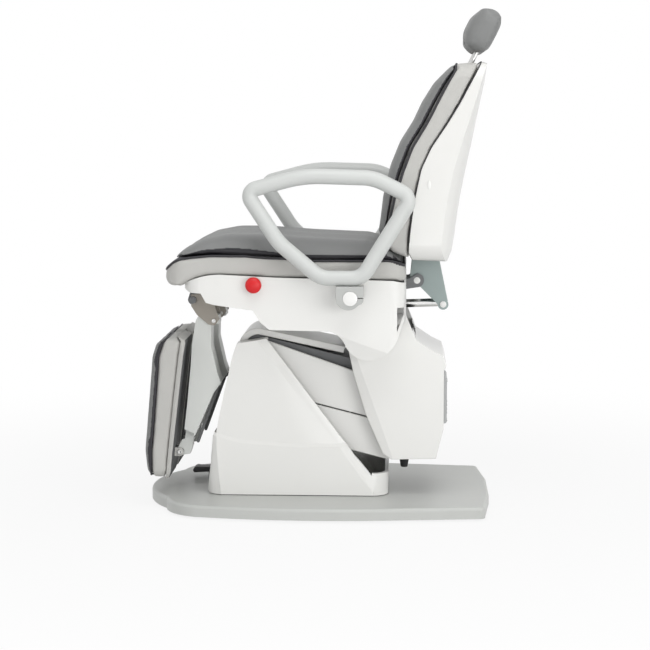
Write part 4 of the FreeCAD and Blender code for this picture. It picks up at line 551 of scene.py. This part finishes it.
shift(column, to_crease)
shift(column, flare)
soften(column, width=0.0025, segments=3, sharper=28)
tidy(column, angle=30)
crisp_along(column, *strip_edge)
for edge_z in (crease_half, -crease_half):
    crisp(column, lambda spot: abs(spot.z - level(crease_at, spot.y) - edge_z) < 0.0008)
even(column)
place(column, "base", white_shell, "shell_white", "pedestal_cover")
print("column cover", len(column.data.polygons), "faces")

# %% [markdown]
# Small pieces such as ribs, bolts, screws and caps are real meshes and not bumps, because they catch light
# and make an outline. Each starts as a block or a drum and gets eased edges. A screw's socket is an inset
# face that is pushed in.

# %% Ribs, bolts and caps
def block(name, low, high, ease=0.0008, segments=2):
    """A small block between two corners, with its edges eased."""
    bpy.ops.object.select_all(action="DESELECT")
    middle = [(a + b) / 2 for a, b in zip(low, high)]
    bpy.ops.mesh.primitive_cube_add(size=1, location=middle)
    piece = bpy.context.object
    piece.name = name
    bpy.ops.transform.resize(value=[b - a for a, b in zip(low, high)])
    bpy.ops.object.transform_apply(location=True, rotation=True, scale=True)
    return soften(piece, ease, segments)


def joined(name, pieces):
    """Several pieces made one, each still its own shell."""
    only(pieces[0])
    for piece in pieces:
        piece.select_set(True)
    if len(pieces) > 1:
        bpy.ops.object.join()
    bpy.context.object.name = name
    return tidy(bpy.context.object)


turns = {"X": (0, math.pi / 2, 0), "Y": (math.pi / 2, 0, 0), "Z": (0, 0, 0)}


def drum(name, spot, axis, radius, length, ease=0.0012, sides=32, socket=0.0):
    """A short round piece along an axis, with a socket of a given radius sunk in its ends when asked."""
    bpy.ops.object.select_all(action="DESELECT")
    bpy.ops.mesh.primitive_cylinder_add(vertices=sides, radius=radius, depth=length, location=spot,
                                        rotation=turns[axis])
    piece = bpy.context.object
    piece.name = name
    bpy.ops.object.transform_apply(location=True, rotation=True, scale=True)
    if socket:
        number = "XYZ".index(axis)
        pick_faces(piece, lambda centre, normal: abs(normal[number]) > 0.9)
        bpy.ops.mesh.inset(thickness=radius - socket, use_individual=True)
        bpy.ops.mesh.extrude_region_shrink_fatten(TRANSFORM_OT_shrink_fatten={"value": -length * 0.3})
        bpy.ops.object.mode_set(mode="OBJECT")
    return soften(piece, width=ease, segments=2)

# %% [markdown]
# The foot pedal is a black rocker with a ribbed tread. The ribs are low blocks across a copy of the tread,
# joined to it, so that they move with it. The seal and the steel inside keep the frame's own shapes.

# %% Foot pedal
rounded("foot_pedal_mount", "pedal_bracket", "base", black_plastic, "pedal_black", width=0.0008, segments=2)
tread = copy_of("foot_pedal", "foot_pedal_tread")
soften(tread, width=0.0012, segments=3)
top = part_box("foot_pedal")[1][2]
ribs = [block("rib", (-0.108, y, top - 0.006), (-0.072, y + 0.0022, top - 0.0025), ease=0.0005)
        for y in (-0.3585, -0.352, -0.3455, -0.339)]
place(joined("foot_pedal_tread", [tread] + ribs), "pedal", black_plastic, "pedal_black", "foot_pedal")
print("pedal top", round(top, 4))

# %% [markdown]
# ## Lift arm, link and carriage
#
# The lower arm wears a pair of moulded cheeks on each side, split by a fine gap, and the upper link has a
# domed cap. Their outlines are in the frame, and a bevel gives them the soft edges of a moulding.

# %% Arm covers and link cap
for half in ("upper", "lower"):
    rounded(f"arm_cover_{half}", f"arm_cheeks_{half}", "lift_arm", white_shell, "shell_white",
            width=0.0028, segments=4)
rounded("upper_link_cover", "link_cap", "link", white_shell, "shell_white",
        width=0.0035, segments=4, sharper=28)

# %% [markdown]
# The carriage cover has a broad grey chamfer along its front edge. It is leant in like the column's strip,
# so that it takes its grey from the light and needs no paint of its own.

# %% Carriage cover
carriage = copy_of("carriage_cover", "carriage_shell")
band_edge = ((0.084, 0.402), (0.180, 0.134))
score_along(carriage, *band_edge)
lean(carriage, *band_edge, band=0.021, depth=0.0065, holds=lambda spot: on_side(spot) and spot.y < 0.2)
soften(carriage, width=0.0035, segments=4, sharper=24)
tidy(carriage, angle=32)
crisp_along(carriage, *band_edge)
even(carriage)
place(carriage, "carriage", white_shell, "shell_white", "carriage_cover")
print("carriage cover", len(carriage.data.polygons), "faces")

# %% [markdown]
# A small grey panel closes the carriage behind, with four louvres and four screws. Below it hangs a black
# rubber bumper. The louvres are low blocks joined to the panel, and the screws keep their own finish.

# %% Rear panel and bumper
panel = copy_of("rear_panel", "service_panel")
low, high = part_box("rear_panel")
louvres = [block("louvre", (-0.045, high[1] - 0.0012, z), (0.045, high[1] + 0.0012, z + 0.0045), ease=0.001)
           for z in (0.235, 0.245, 0.255, 0.265)]
screws = [drum("screw", (x, high[1], z), "Y", radius=0.0045, length=0.003, ease=0.0006, sides=20,
               socket=0.002)
          for x in (-0.056, 0.056) for z in (0.222, 0.326)]
place(joined("service_panel", [panel] + louvres), "carriage", panel_grey, "panel_grey", "rear_panel")
place(joined("panel_screws", screws), "carriage", turned_steel, "shaft_steel")
rounded("carriage_bumper", "bumper", "carriage", black_rubber, "bumper_black", width=0.002, segments=3)
print("panel", [round(value, 3) for value in low], [round(value, 3) for value in high])

# %% [markdown]
# ## Seat housing
#
# The housing is a deep moulded tub. Its lower edges are broadly rounded, and it steps down to a knuckle on
# each side of the carriage, where a crease shows the change of direction. One bevel for all edges would
# be too sharp below or too round at the rim, so the outer lower edges are picked and rounded first.

# %% Housing
tub = copy_of("seat_housing", "seat_tub")
knuckle = ((0.045, 0.464), (0.167, 0.422))
score_along(tub, *knuckle)
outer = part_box("seat_housing")[1][0]
pick_edges(tub, lambda ends, turn: turn > 40 and all(
    abs(abs(end.x) - outer) < 0.0008 and end.z < 0.575 for end in ends))
bpy.ops.mesh.bevel(offset=0.011, segments=5, affect="EDGES", clamp_overlap=True)
bpy.ops.object.mode_set(mode="OBJECT")
soften(tub, width=0.002, segments=3, sharper=32)
lean(tub, *knuckle, band=0.03, depth=0.008, holds=lambda spot: abs(spot.x) > 0.2 and spot.y > -0.06)
tidy(tub, angle=32)
even(tub)
place(tub, "seat", white_shell, "shell_white", "seat_housing")
print("seat tub", len(tub.data.polygons), "faces")

# %% [markdown]
# The emergency stop is a mushroom head on a pale collar. A squashed ball would miss its flat brim, so it is
# turned as on a lathe: a half outline is spun round the button's axis, which lies across the chair.

# %% Emergency stop
def turned(name, profile, spot, axis="X", steps=48):
    """A piece turned about an axis, from its half outline as (radius, distance along the axis)."""
    bpy.ops.object.select_all(action="DESELECT")
    bpy.ops.mesh.primitive_circle_add(vertices=len(profile), radius=1)
    piece = bpy.context.object
    piece.name = name
    for vertex, (radius, reach) in zip(piece.data.vertices, profile):
        offset = {"X": (reach, 0, radius), "Y": (0, reach, radius), "Z": (radius, 0, reach)}[axis]
        vertex.co = Vector(spot) + Vector(offset)
    bpy.ops.object.mode_set(mode="EDIT")
    bpy.ops.mesh.select_all(action="SELECT")
    direction = {"X": (1, 0, 0), "Y": (0, 1, 0), "Z": (0, 0, 1)}[axis]
    bpy.ops.mesh.spin(steps=steps, angle=math.tau, center=spot, axis=direction)
    bpy.ops.mesh.select_all(action="SELECT")
    bpy.ops.mesh.remove_doubles(threshold=0.00002)
    bpy.ops.mesh.dissolve_degenerate(threshold=0.00001)
    bpy.ops.mesh.delete_loose()
    bpy.ops.object.mode_set(mode="OBJECT")
    return tidy(piece, angle=40)


low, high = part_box("estop_button")
middle = ((low[1] + high[1]) / 2, (low[2] + high[2]) / 2)
face_x, stem = high[0], low[0] - high[0]
dome = [(0, 0), (0.0018, 0), (0.0105, -0.0012), (0.0165, -0.0042), (0.0195, -0.0072), (0.0203, -0.0098),
        (0.0203, -0.0125), (0.0196, -0.0132), (0.0075, -0.0132), (0.007, -0.0138), (0.007, stem), (0, stem)]
head = turned("stop_button", dome, (face_x, *middle))
place(head, "emergency_stop", stop_red, "stop_red", "estop_button")
ring = [(0.0074, 0.0), (0.0074, 0.0056), (0.013, 0.0058), (0.0152, 0.005), (0.0162, 0.0036), (0.0166, 0.0)]
collar = turned("stop_collar", ring, (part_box("estop_collar")[0][0], *middle))
place(collar, "seat", collar_grey, "collar_black", "estop_collar")
print("stop button", round((high[1] - low[1]) / 2, 4), "m radius at", [round(value, 3) for value in middle])

# %% [markdown]
# ## Armrests
#
# Each armrest is one bent tube in soft pale grey plastic. A cast clamp grips its lowest run and turns on
# the white-ended shaft. The clamp is split towards the rear, where a socket screw closes it. The tube's
# bends are right in the frame, so its copy is only joined and smoothed.

# %% Armrest loops, clamps and shaft ends
shaft_at, clamp_screw_at = (0.074, 0.564), (0.0985, 0.5515)
for side, word, body in ((1, "left", "armrest_l"), (-1, "right", "armrest_r")):
    loop = copy_of(f"armrest_{word}", f"armrest_loop_{word}")
    tidy(loop, angle=70)
    place(loop, body, soft_grey_arm, "armrest_grey", f"armrest_{word}")
    rounded(f"armrest_clamp_{word}", f"clamp_{word}", body, clamp_grey, "clamp_grey",
            width=0.0016, segments=3)
    screw = drum("screw", (side * 0.285, *clamp_screw_at), "Z", radius=0.0045, length=0.006,
                 ease=0.0006, sides=24, socket=0.0024)
    place(joined(f"clamp_screw_{word}", [screw]), body, turned_steel, "shaft_steel")
    end = drum("end", (side * 0.3065, *shaft_at), "X", radius=0.0168, length=0.003, ease=0.0011, sides=48)
    place(joined(f"shaft_cap_{word}", [end]), "seat", cap_white, "shell_white")
print("armrests done")

# %% [markdown]
# ## Legs
#
# Each leg hangs from a pair of beige knee plates. A pressed arm carries a sliding extension with the foot
# bracket, and a thin release lever lies behind it. Pins and bolts show on the outside of each joint, each
# set where its plate's face is, so that a change of the plate moves them too.

# %% Leg hardware
knee_at, link_bolt_at, ankle_at = (-0.336, 0.541), (-0.283, 0.487), (-0.376, 0.141)
for side, word, end in ((1, "left", "l"), (-1, "right", "r")):
    rounded(f"knee_plate_{word}", f"knee_plates_{word}", f"leg_{end}", knee_beige, "knee_beige",
            width=0.0011, segments=3)
    rounded(f"leg_arm_{word}", f"leg_channel_{word}", f"leg_{end}", leg_grey, "leg_grey",
            width=0.002, segments=3)
    rounded(f"leg_extension_{word}", f"leg_slide_{word}", f"extension_{end}", leg_grey, "leg_grey",
            width=0.001, segments=3)
    rounded(f"leg_release_lever_{word}", f"release_lever_{word}", f"lever_{end}", lever_grey, "lever_dark",
            width=0.0012, segments=3)
    board = copy_of(f"leg_pad_board_{word}", f"pad_board_{word}")
    tidy(soften(board, width=0.0018, segments=3, sharper=40), angle=34)
    darken(board, lambda centre, normal: normal.y > 0.5, border_vinyl, board_dark)
    place(board, f"leg_pad_{end}", None, "board_dark", f"leg_pad_board_{word}")
    low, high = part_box(f"knee_plate_{word}")
    bolts = []
    for x, way in ((low[0], -1), (high[0], 1)):
        knee, link = (x + way * 0.0022, *knee_at), (x + way * 0.0016, *link_bolt_at)
        bolts.append(drum("bolt", knee, "X", radius=0.0085, length=0.0045, ease=0.0009, sides=28,
                          socket=0.0042))
        bolts.append(drum("bolt", link, "X", radius=0.0052, length=0.0033, ease=0.0007, sides=24,
                          socket=0.0026))
    place(joined(f"knee_bolts_{word}", bolts), f"leg_{end}", turned_steel, "shaft_steel")
    low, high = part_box(f"leg_extension_{word}")
    pins = [drum("pin", (x + way * 0.0012, *ankle_at), "X", radius=0.0062, length=0.0028, ease=0.0008,
                 sides=24, socket=0.003)
            for x, way in ((low[0], -1), (high[0], 1))]
    place(joined(f"ankle_pins_{word}", pins), f"extension_{end}", turned_steel, "shaft_steel")
print("legs done")

# %% [markdown]
# ## Back shell and hinge
#
# The back is closed behind by one smooth shell, with a slanting crease that fades towards its foot. A small
# white oval cap covers a screw on each side. Below, the green-grey hinge plates show, with the white-ended
# hinge pin through them. The walls slope, so a ray finds where each cap sits on them.

# %% Back shell, hinge and caps
shell = copy_of("back_shell", "back_shell_skin")
crease = ((0.284, 0.841), (0.382, 1.008))
fade_foot, fade_top = 0.80, 0.86
for offset in (0.0, 0.055):
    score_along(shell, *crease, offset)
for height in (fade_foot, fade_top):
    score(shell, (0, 0, height), (0, 0, 1))
lean(shell, crease[1], crease[0], band=0.047, depth=0.005, holds=lambda spot: abs(spot.x) > 0.18,
     fade=lambda spot: clamp((spot.z - fade_foot) / (fade_top - fade_foot)))
soften(shell, width=0.002, segments=3, sharper=38)
even(tidy(shell, angle=38))
place(shell, "back", white_shell, "shell_white", "back_shell")
plates = rounded("back_frame", "back_hinge_plates", "back", bracket_green, "bracket_green",
                 width=0.0009, segments=2)


def surface_of(*pieces):
    """The skins of some pieces, to find places on them."""
    corners, faces = [], []
    for piece in pieces:
        start = len(corners)
        corners += [tuple(vertex.co) for vertex in piece.data.vertices]
        faces += [tuple(start + index for index in face.vertices) for face in piece.data.polygons]
    return BVHTree.FromPolygons(corners, faces)


skin = surface_of(shell)
plate_skin = surface_of(plates)
cap_at, hinge_at, rod_eye_at = (0.268, 0.841), (0.240, 0.588), (0.308, 0.525)
for side, word in ((1, "left"), (-1, "right")):
    hit = skin.ray_cast(Vector((side * 0.4, *cap_at)), Vector((-side, 0, 0)))[0]
    cap = drum("cap", (hit.x, *cap_at), "X", radius=0.0062, length=0.0022, ease=0.0008, sides=40)
    shift(cap, lambda spot: (0, (spot.y - cap_at[0]) * -0.35, (spot.z - cap_at[1]) * 0.75))
    place(joined(f"shell_cap_{word}", [cap]), "back", cap_white, "shell_white")
    pin = drum("pin", (side * 0.0665, *hinge_at), "X", radius=0.0078, length=0.0026, ease=0.0009, sides=36)
    place(joined(f"hinge_pin_cap_{word}", [pin]), "seat", cap_white, "shell_white")
    hit = plate_skin.ray_cast(Vector((side * 0.4, *rod_eye_at)), Vector((-side, 0, 0)))[0]
    eye = drum("eye", (hit.x + side * 0.001, *rod_eye_at), "X", radius=0.0085, length=0.0036,
               ease=0.001, sides=36)
    place(joined(f"rod_pin_cap_{word}", [eye]), "back", cap_white, "shell_white")
print("back done")

# %% [markdown]
# ## Upholstery
#
# A cushion is soft, so it isn't drawn as a block. A copy of its form is remeshed into even faces, drawn in
# a little, and then blown up as cloth with a slight pressure inside. How far any point may travel is
# capped, so that the cushion keeps the place that its form has.

# %% Blow up a cushion
def cushion(node, name, voxel, swell, shrink=0.0012, frames=20, smooth=6, thicken=0.0):
    """A padded copy of a node: remeshed, inflated within a cap and subdivided once."""
    piece = copy_of(node, name)
    if thicken:
        finish_modifier(piece, "DISPLACE", strength=thicken, mid_level=0.0)
    finish_modifier(piece, "REMESH", mode="VOXEL", voxel_size=voxel, adaptivity=0.0)
    finish_modifier(piece, "SMOOTH", factor=0.5, iterations=smooth)
    finish_modifier(piece, "DISPLACE", strength=-shrink, mid_level=0.0)
    before = [vertex.co.copy() for vertex in piece.data.vertices]
    only(piece)
    modifier = piece.modifiers.new("cloth", "CLOTH")
    modifier.settings.quality = 3
    modifier.settings.use_pressure = True
    modifier.settings.uniform_pressure_force = 4.0
    modifier.settings.tension_stiffness = 12
    modifier.settings.compression_stiffness = 12
    modifier.settings.bending_stiffness = 0.6
    modifier.settings.effector_weights.gravity = 0.0
    modifier.collision_settings.use_collision = False
    for step in range(1, frames + 1):
        bpy.context.scene.frame_set(step)
    bpy.ops.object.modifier_apply(modifier=modifier.name)
    bpy.context.scene.frame_set(1)
    for vertex, start in zip(piece.data.vertices, before):
        travel = vertex.co - start
        if travel.length > swell:
            vertex.co = start + travel * (swell / travel.length)
    finish_modifier(piece, "SMOOTH", factor=0.5, iterations=3)
    finish_modifier(piece, "SUBSURF", levels=1, render_levels=1)
    tidy(piece, angle=60)
    print(name, len(piece.data.polygons), "faces")
    return piece


# %% [markdown]
# A piping is a cord sewn into a seam. A tube drawn as a smooth curve would float off the cushion or sink
# into it, so each point of its path is laid on the nearest place of the skin first. The face of a border
# that is hidden under another cushion is sunk a little, so that it can't show through.

# %% Piping and hidden faces
def recess(piece, facing, depth, half_x, across, low, high, edge=0.012):
    """Sink the face that lies under another cushion, and leave its rim where it is.

    The face is bounded by half_x across the chair, and by low and high on the axis across (1 is along the
    chair, 2 is upwards). It sinks over the width of edge.
    """
    facing = Vector(facing).normalized()
    normals = [vertex.normal.dot(facing) for vertex in piece.data.vertices]
    for vertex, turned_to in zip(piece.data.vertices, normals):
        spot = vertex.co
        inside = min(half_x - abs(spot.x), spot[across] - low, high - spot[across]) / edge
        vertex.co = spot - facing * depth * clamp(inside) * clamp(turned_to * 4 - 1.6)


def welt(name, path, skin, radius, lift=0.3, rounds=3, sides=3):
    """A sewn piping along a closed path, laid on a cushion's skin and evened out a few times."""
    spots = []
    for spot in path:
        found, normal = skin.find_nearest(Vector(spot))[:2]
        spots.append(found + normal * radius * lift)
    for _ in range(rounds):
        spots = [(spots[index - 1] + spot * 2 + spots[(index + 1) % len(spots)]) / 4
                 for index, spot in enumerate(spots)]
    bpy.ops.object.select_all(action="DESELECT")
    bpy.ops.mesh.primitive_circle_add(vertices=len(spots), radius=1)
    piece = bpy.context.object
    piece.name = name
    for vertex, spot in zip(piece.data.vertices, spots):
        vertex.co = spot
    bpy.ops.object.convert(target="CURVE")
    piece = bpy.context.object
    piece.data.bevel_depth = radius
    piece.data.bevel_resolution = sides
    bpy.ops.object.convert(target="MESH")
    return tidy(bpy.context.object, angle=60)


def round_plan(half_u, low_v, high_v, corner, step=0.006, centre=0.0):
    """Points round a box with round corners, evenly spaced, counter-clockwise."""
    spots = []
    corners = ((half_u, low_v, -1, 1, -90), (half_u, high_v, -1, -1, 0),
               (-half_u, high_v, 1, -1, 90), (-half_u, low_v, 1, 1, 180))
    for u, v, way_u, way_v, start in corners:
        middle_u, middle_v = centre + (u + way_u * corner), v + way_v * corner
        for turn in range(0, 91, 6):
            angle = math.radians(start + turn)
            spots.append((middle_u + corner * math.cos(angle), middle_v + corner * math.sin(angle)))
    filled = []
    for index, (u, v) in enumerate(spots):
        next_u, next_v = spots[(index + 1) % len(spots)]
        count = max(1, round(math.hypot(next_u - u, next_v - v) / step))
        for part in range(count):
            filled.append((u + (next_u - u) * part / count, v + (next_v - v) * part / count))
    return filled


# %% [markdown]
# The seat has a firm pale border that follows the tub's rim, and a crowned grey cushion on it. The side of
# the cushion is a black boxing strip, closed by a piping below and a fine seam above. The strip is the
# cushion's own side in a second finish, which keeps it closed. Its two edges are given as curves of places
# along the chair and heights.

# %% Seat cushions
border = cushion("seat_border_pad", "seat_border", voxel=0.006, swell=0.003, shrink=0.0004)
seat = cushion("seat_top_pad", "seat_cushion", voxel=0.0055, swell=0.006, shrink=0.0004, smooth=3,
               thicken=0.0018)
strip_top = ((-0.397, 0.6215), (-0.371, 0.651), (-0.345, 0.664), (-0.299, 0.677), (-0.227, 0.683),
             (-0.170, 0.679), (-0.095, 0.669), (-0.035, 0.666), (0.122, 0.665), (0.174, 0.667),
             (0.212, 0.645))
strip_foot = ((-0.398, 0.6205), (-0.371, 0.646), (-0.343, 0.659), (-0.299, 0.664), (-0.227, 0.667),
              (-0.089, 0.661), (-0.035, 0.656), (0.115, 0.654), (0.164, 0.655), (0.212, 0.635))
recess(border, (0, 0, 1), depth=0.004, half_x=0.241, across=1, low=-0.350, high=0.205, edge=0.02)
darken(border, lambda centre, normal: centre.z > level(strip_foot, centre.y) - 0.0015,
       border_vinyl, band_vinyl)
place(border, "seat", None, "border_vinyl", "seat_border_pad")
darken(seat, lambda centre, normal: centre.z < level(strip_top, centre.y) + 0.001 and normal.z < 0.6,
       top_vinyl, band_vinyl)
place(seat, "seat", None, "top_vinyl", "seat_top_pad")
skin = surface_of(seat)
plan = round_plan(half_u=0.242, low_v=-0.3935, high_v=0.206, corner=0.055)
foot = [(x, y, level(strip_foot, y)) for x, y in plan]
piping = welt("seat_piping", foot, surface_of(border), radius=0.0032, lift=0.4)
place(piping, "seat", band_vinyl, "top_vinyl")
upper = [(x * 0.985, y, level(strip_top, y)) for x, y in plan]
seam = welt("seat_seam", upper, skin, radius=0.0011, lift=0.2, rounds=3, sides=2)
place(seam, "seat", band_vinyl, "top_vinyl")
print("seat upholstered")

# %% [markdown]
# The back has the same layers: a pale border on the shell and a grey face with black piping between them.
# Its curves run up the back, so they are given as heights and places along the chair. It leans, and the way
# that its front faces is named once.

# %% Back cushions
back_border = cushion("back_border_pad", "back_border", voxel=0.006, swell=0.003)
face = cushion("back_top_pad", "back_cushion", voxel=0.005, swell=0.004, shrink=0.0002, smooth=2,
               thicken=0.0022)
face_line = ((0.650, 0.158), (0.704, 0.151), (0.722, 0.152), (0.752, 0.158), (0.808, 0.170), (0.878, 0.191),
             (0.938, 0.214), (0.993, 0.249), (1.043, 0.275), (1.092, 0.302), (1.146, 0.337))
front_y, front_z = -0.92, 0.38
recess(back_border, (0, front_y, front_z), depth=0.006, half_x=0.219, across=2, low=0.660, high=1.140)
darken(back_border, lambda centre, normal: centre.y < level(face_line, centre.z) + 0.0015,
       border_vinyl, band_vinyl)
place(back_border, "back", None, "border_vinyl", "back_border_pad")
darken(face, lambda centre, normal: centre.y > level(face_line, centre.z) - 0.009
       and normal.z * front_z + normal.y * front_y < 0.5, top_vinyl, band_vinyl)
place(face, "back", None, "top_vinyl", "back_top_pad")
plan = round_plan(half_u=0.2215, low_v=0.668, high_v=1.141, corner=0.048)
line = [(x, level(face_line, z), z) for x, z in plan]
piping = welt("back_piping", line, surface_of(back_border), radius=0.0032, lift=0.4)
place(piping, "back", band_vinyl, "top_vinyl")
seam_line = ((0.652, 0.228), (0.672, 0.218), (0.712, 0.220), (0.755, 0.225), (0.812, 0.233), (0.880, 0.247),
             (0.934, 0.272), (0.989, 0.309), (1.043, 0.342), (1.096, 0.370), (1.146, 0.396))
plan = round_plan(half_u=0.224, low_v=0.652, high_v=1.1455, corner=0.048)
line = [(x, level(seam_line, z), z) for x, z in plan]
seam = welt("shell_seam", line, surface_of(shell, back_border), radius=0.0016, lift=0.1, rounds=2, sides=2)
place(seam, "back", black_rubber, "seal_black")
print("back upholstered")

# %% [markdown]
# The head cushion lies above the picture's edge. It is one plain block of foam in the same grey vinyl,
# blown up like the others.

# %% Head cushion
head_pad = cushion("headrest_pad", "head_cushion", voxel=0.005, swell=0.005)
place(head_pad, "headrest", top_vinyl, "top_vinyl", "headrest_pad")
low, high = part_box("headrest_pad")
print("head cushion", [round(value, 3) for value in low], [round(value, 3) for value in high])

# %% [markdown]
# Each leg pad is a pale padded edge on a dark board, with a grey face whose side is black. The two pads are
# made in one loop, because only their side of the chair differs.

# %% Leg cushions
leg_line = ((0.077, -0.4445), (0.106, -0.4435), (0.152, -0.443), (0.288, -0.432), (0.397, -0.422),
            (0.435, -0.409), (0.450, -0.399))
for side, word, end in ((1, "left", "l"), (-1, "right", "r")):
    edge = cushion(f"leg_pad_border_{word}", f"leg_edge_{word}", voxel=0.0045, swell=0.003, shrink=0.0008)
    place(edge, f"leg_pad_{end}", border_vinyl, "border_vinyl", f"leg_pad_border_{word}")
    pad = cushion(f"leg_pad_face_{word}", f"leg_cushion_{word}", voxel=0.0045, swell=0.004, shrink=0.0008)
    darken(pad, lambda centre, normal: abs(normal.y) < 0.55 or normal.y > 0, top_vinyl, band_vinyl)
    place(pad, f"leg_pad_{end}", None, "top_vinyl", f"leg_pad_face_{word}")
    plan = round_plan(half_u=0.0785, low_v=0.0805, high_v=0.4485, corner=0.026, step=0.005,
                      centre=side * 0.09)
    line = [(x, level(leg_line, z), z) for x, z in plan]
    piping = welt(f"leg_piping_{word}", line, surface_of(pad, edge), radius=0.0022, lift=0.3)
    place(piping, f"leg_pad_{end}", band_vinyl, "top_vinyl")
print("leg pads upholstered")

# %% [markdown]
# ## Studio
#
# The picture is a catalogue shot on white. The floor is plain and pale. Under the chair it takes a faint
# shadow, and further off it mixes into plain white, so that no horizon shows.

# %% Floor
bpy.ops.object.select_all(action="DESELECT")
bpy.ops.mesh.primitive_plane_add(size=40, location=(0, 0, 0))
floor = bpy.context.object
floor.name = "studio_floor"
floor_finish = Finish("studio_floor", roughness=0.9, specular_ior_level=0.0)
floor_finish.shader.inputs["Base Color"].default_value = (0.80, 0.80, 0.80, 1)
seen = (floor_finish.node("ShaderNodeLightPath", output="Is Camera Ray")
        + floor_finish.node("ShaderNodeLightPath", output="Is Glossy Ray")
        + floor_finish.node("ShaderNodeLightPath", output="Is Transmission Ray"))
away = floor_finish.node("ShaderNodeVectorMath", {"operation": "LENGTH"}, {
    0: floor_finish.node("ShaderNodeTexCoord", output="Object")}, output="Value")
clear = floor_finish.node("ShaderNodeMapRange", {"interpolation_type": "SMOOTHSTEP"}, {
    "Value": away, "From Min": 0.5, "From Max": 2.2, "To Min": 0.86, "To Max": 1.0})
glow = floor_finish.node("ShaderNodeEmission", {}, {"Color": (1, 1, 1, 1), "Strength": 1.0})
plain = Wire(floor_finish, floor_finish.shader.outputs[0])
blend = floor_finish.node("ShaderNodeMixShader", {}, {
    0: seen.sum("MINIMUM", seen, 1.0) * clear, 1: plain, 2: glow})
floor_finish.tree.links.new(blend.socket, floor_finish.tree.nodes["Material Output"].inputs["Surface"])
floor.data.materials.append(floor_finish.material)

# %% [markdown]
# A white room would light the chair from everywhere and wash out its covers. So the camera and the
# reflections see the full white, while the light that the world casts is about half as strong.

# %% World
world = bpy.data.worlds.new("studio")
world.use_nodes = True
bpy.context.scene.world = world
tree = world.node_tree
sky = tree.nodes["Background"]
seen = tree.nodes.new("ShaderNodeLightPath")
either = seen.outputs["Is Camera Ray"]
for ray in ("Is Glossy Ray", "Is Transmission Ray"):
    both = tree.nodes.new("ShaderNodeMath")
    both.operation = "MAXIMUM"
    tree.links.new(either, both.inputs[0])
    tree.links.new(seen.outputs[ray], both.inputs[1])
    either = both.outputs[0]
strength = tree.nodes.new("ShaderNodeMapRange")
tree.links.new(either, strength.inputs["Value"])
cast, shown = 0.55, 1.0
strength.inputs["To Min"].default_value = cast
strength.inputs["To Max"].default_value = shown
tree.links.new(strength.outputs[0], sky.inputs["Strength"])
sky.inputs["Color"].default_value = (1, 1, 1, 1)
print("the world casts", cast, "and shows", shown)

# %% [markdown]
# Four soft boxes do the rest: a large one overhead, a key light from the side of the back, a weak one from
# the foot end, and a low strip that lifts the foot of the column.

# %% Lights
def lamp(name, spot, target, power, width, height):
    """A soft box that faces its target."""
    data = bpy.data.lights.new(name, "AREA")
    data.shape, data.size, data.size_y, data.energy = "RECTANGLE", width, height, power
    light = bpy.data.objects.new(name, data)
    bpy.context.collection.objects.link(light)
    light.location = spot
    light.rotation_euler = (Vector(target) - Vector(spot)).to_track_quat("-Z", "Y").to_euler()
    return light


lamp("top_box", (1.3, 0.3, 3.0), (0, 0, 0.5), power=29, width=1.8, height=1.8)
lamp("key_box", (3.1, 2.6, 1.0), (0, 0, 0.3), power=45, width=2.2, height=1.6)
lamp("front_box", (1.8, -3.4, 1.6), (0, 0, 0.5), power=8, width=1.6, height=2.0)
lamp("low_box", (3.0, 0.3, 0.22), (0, 0, 0.25), power=7, width=1.8, height=0.4)
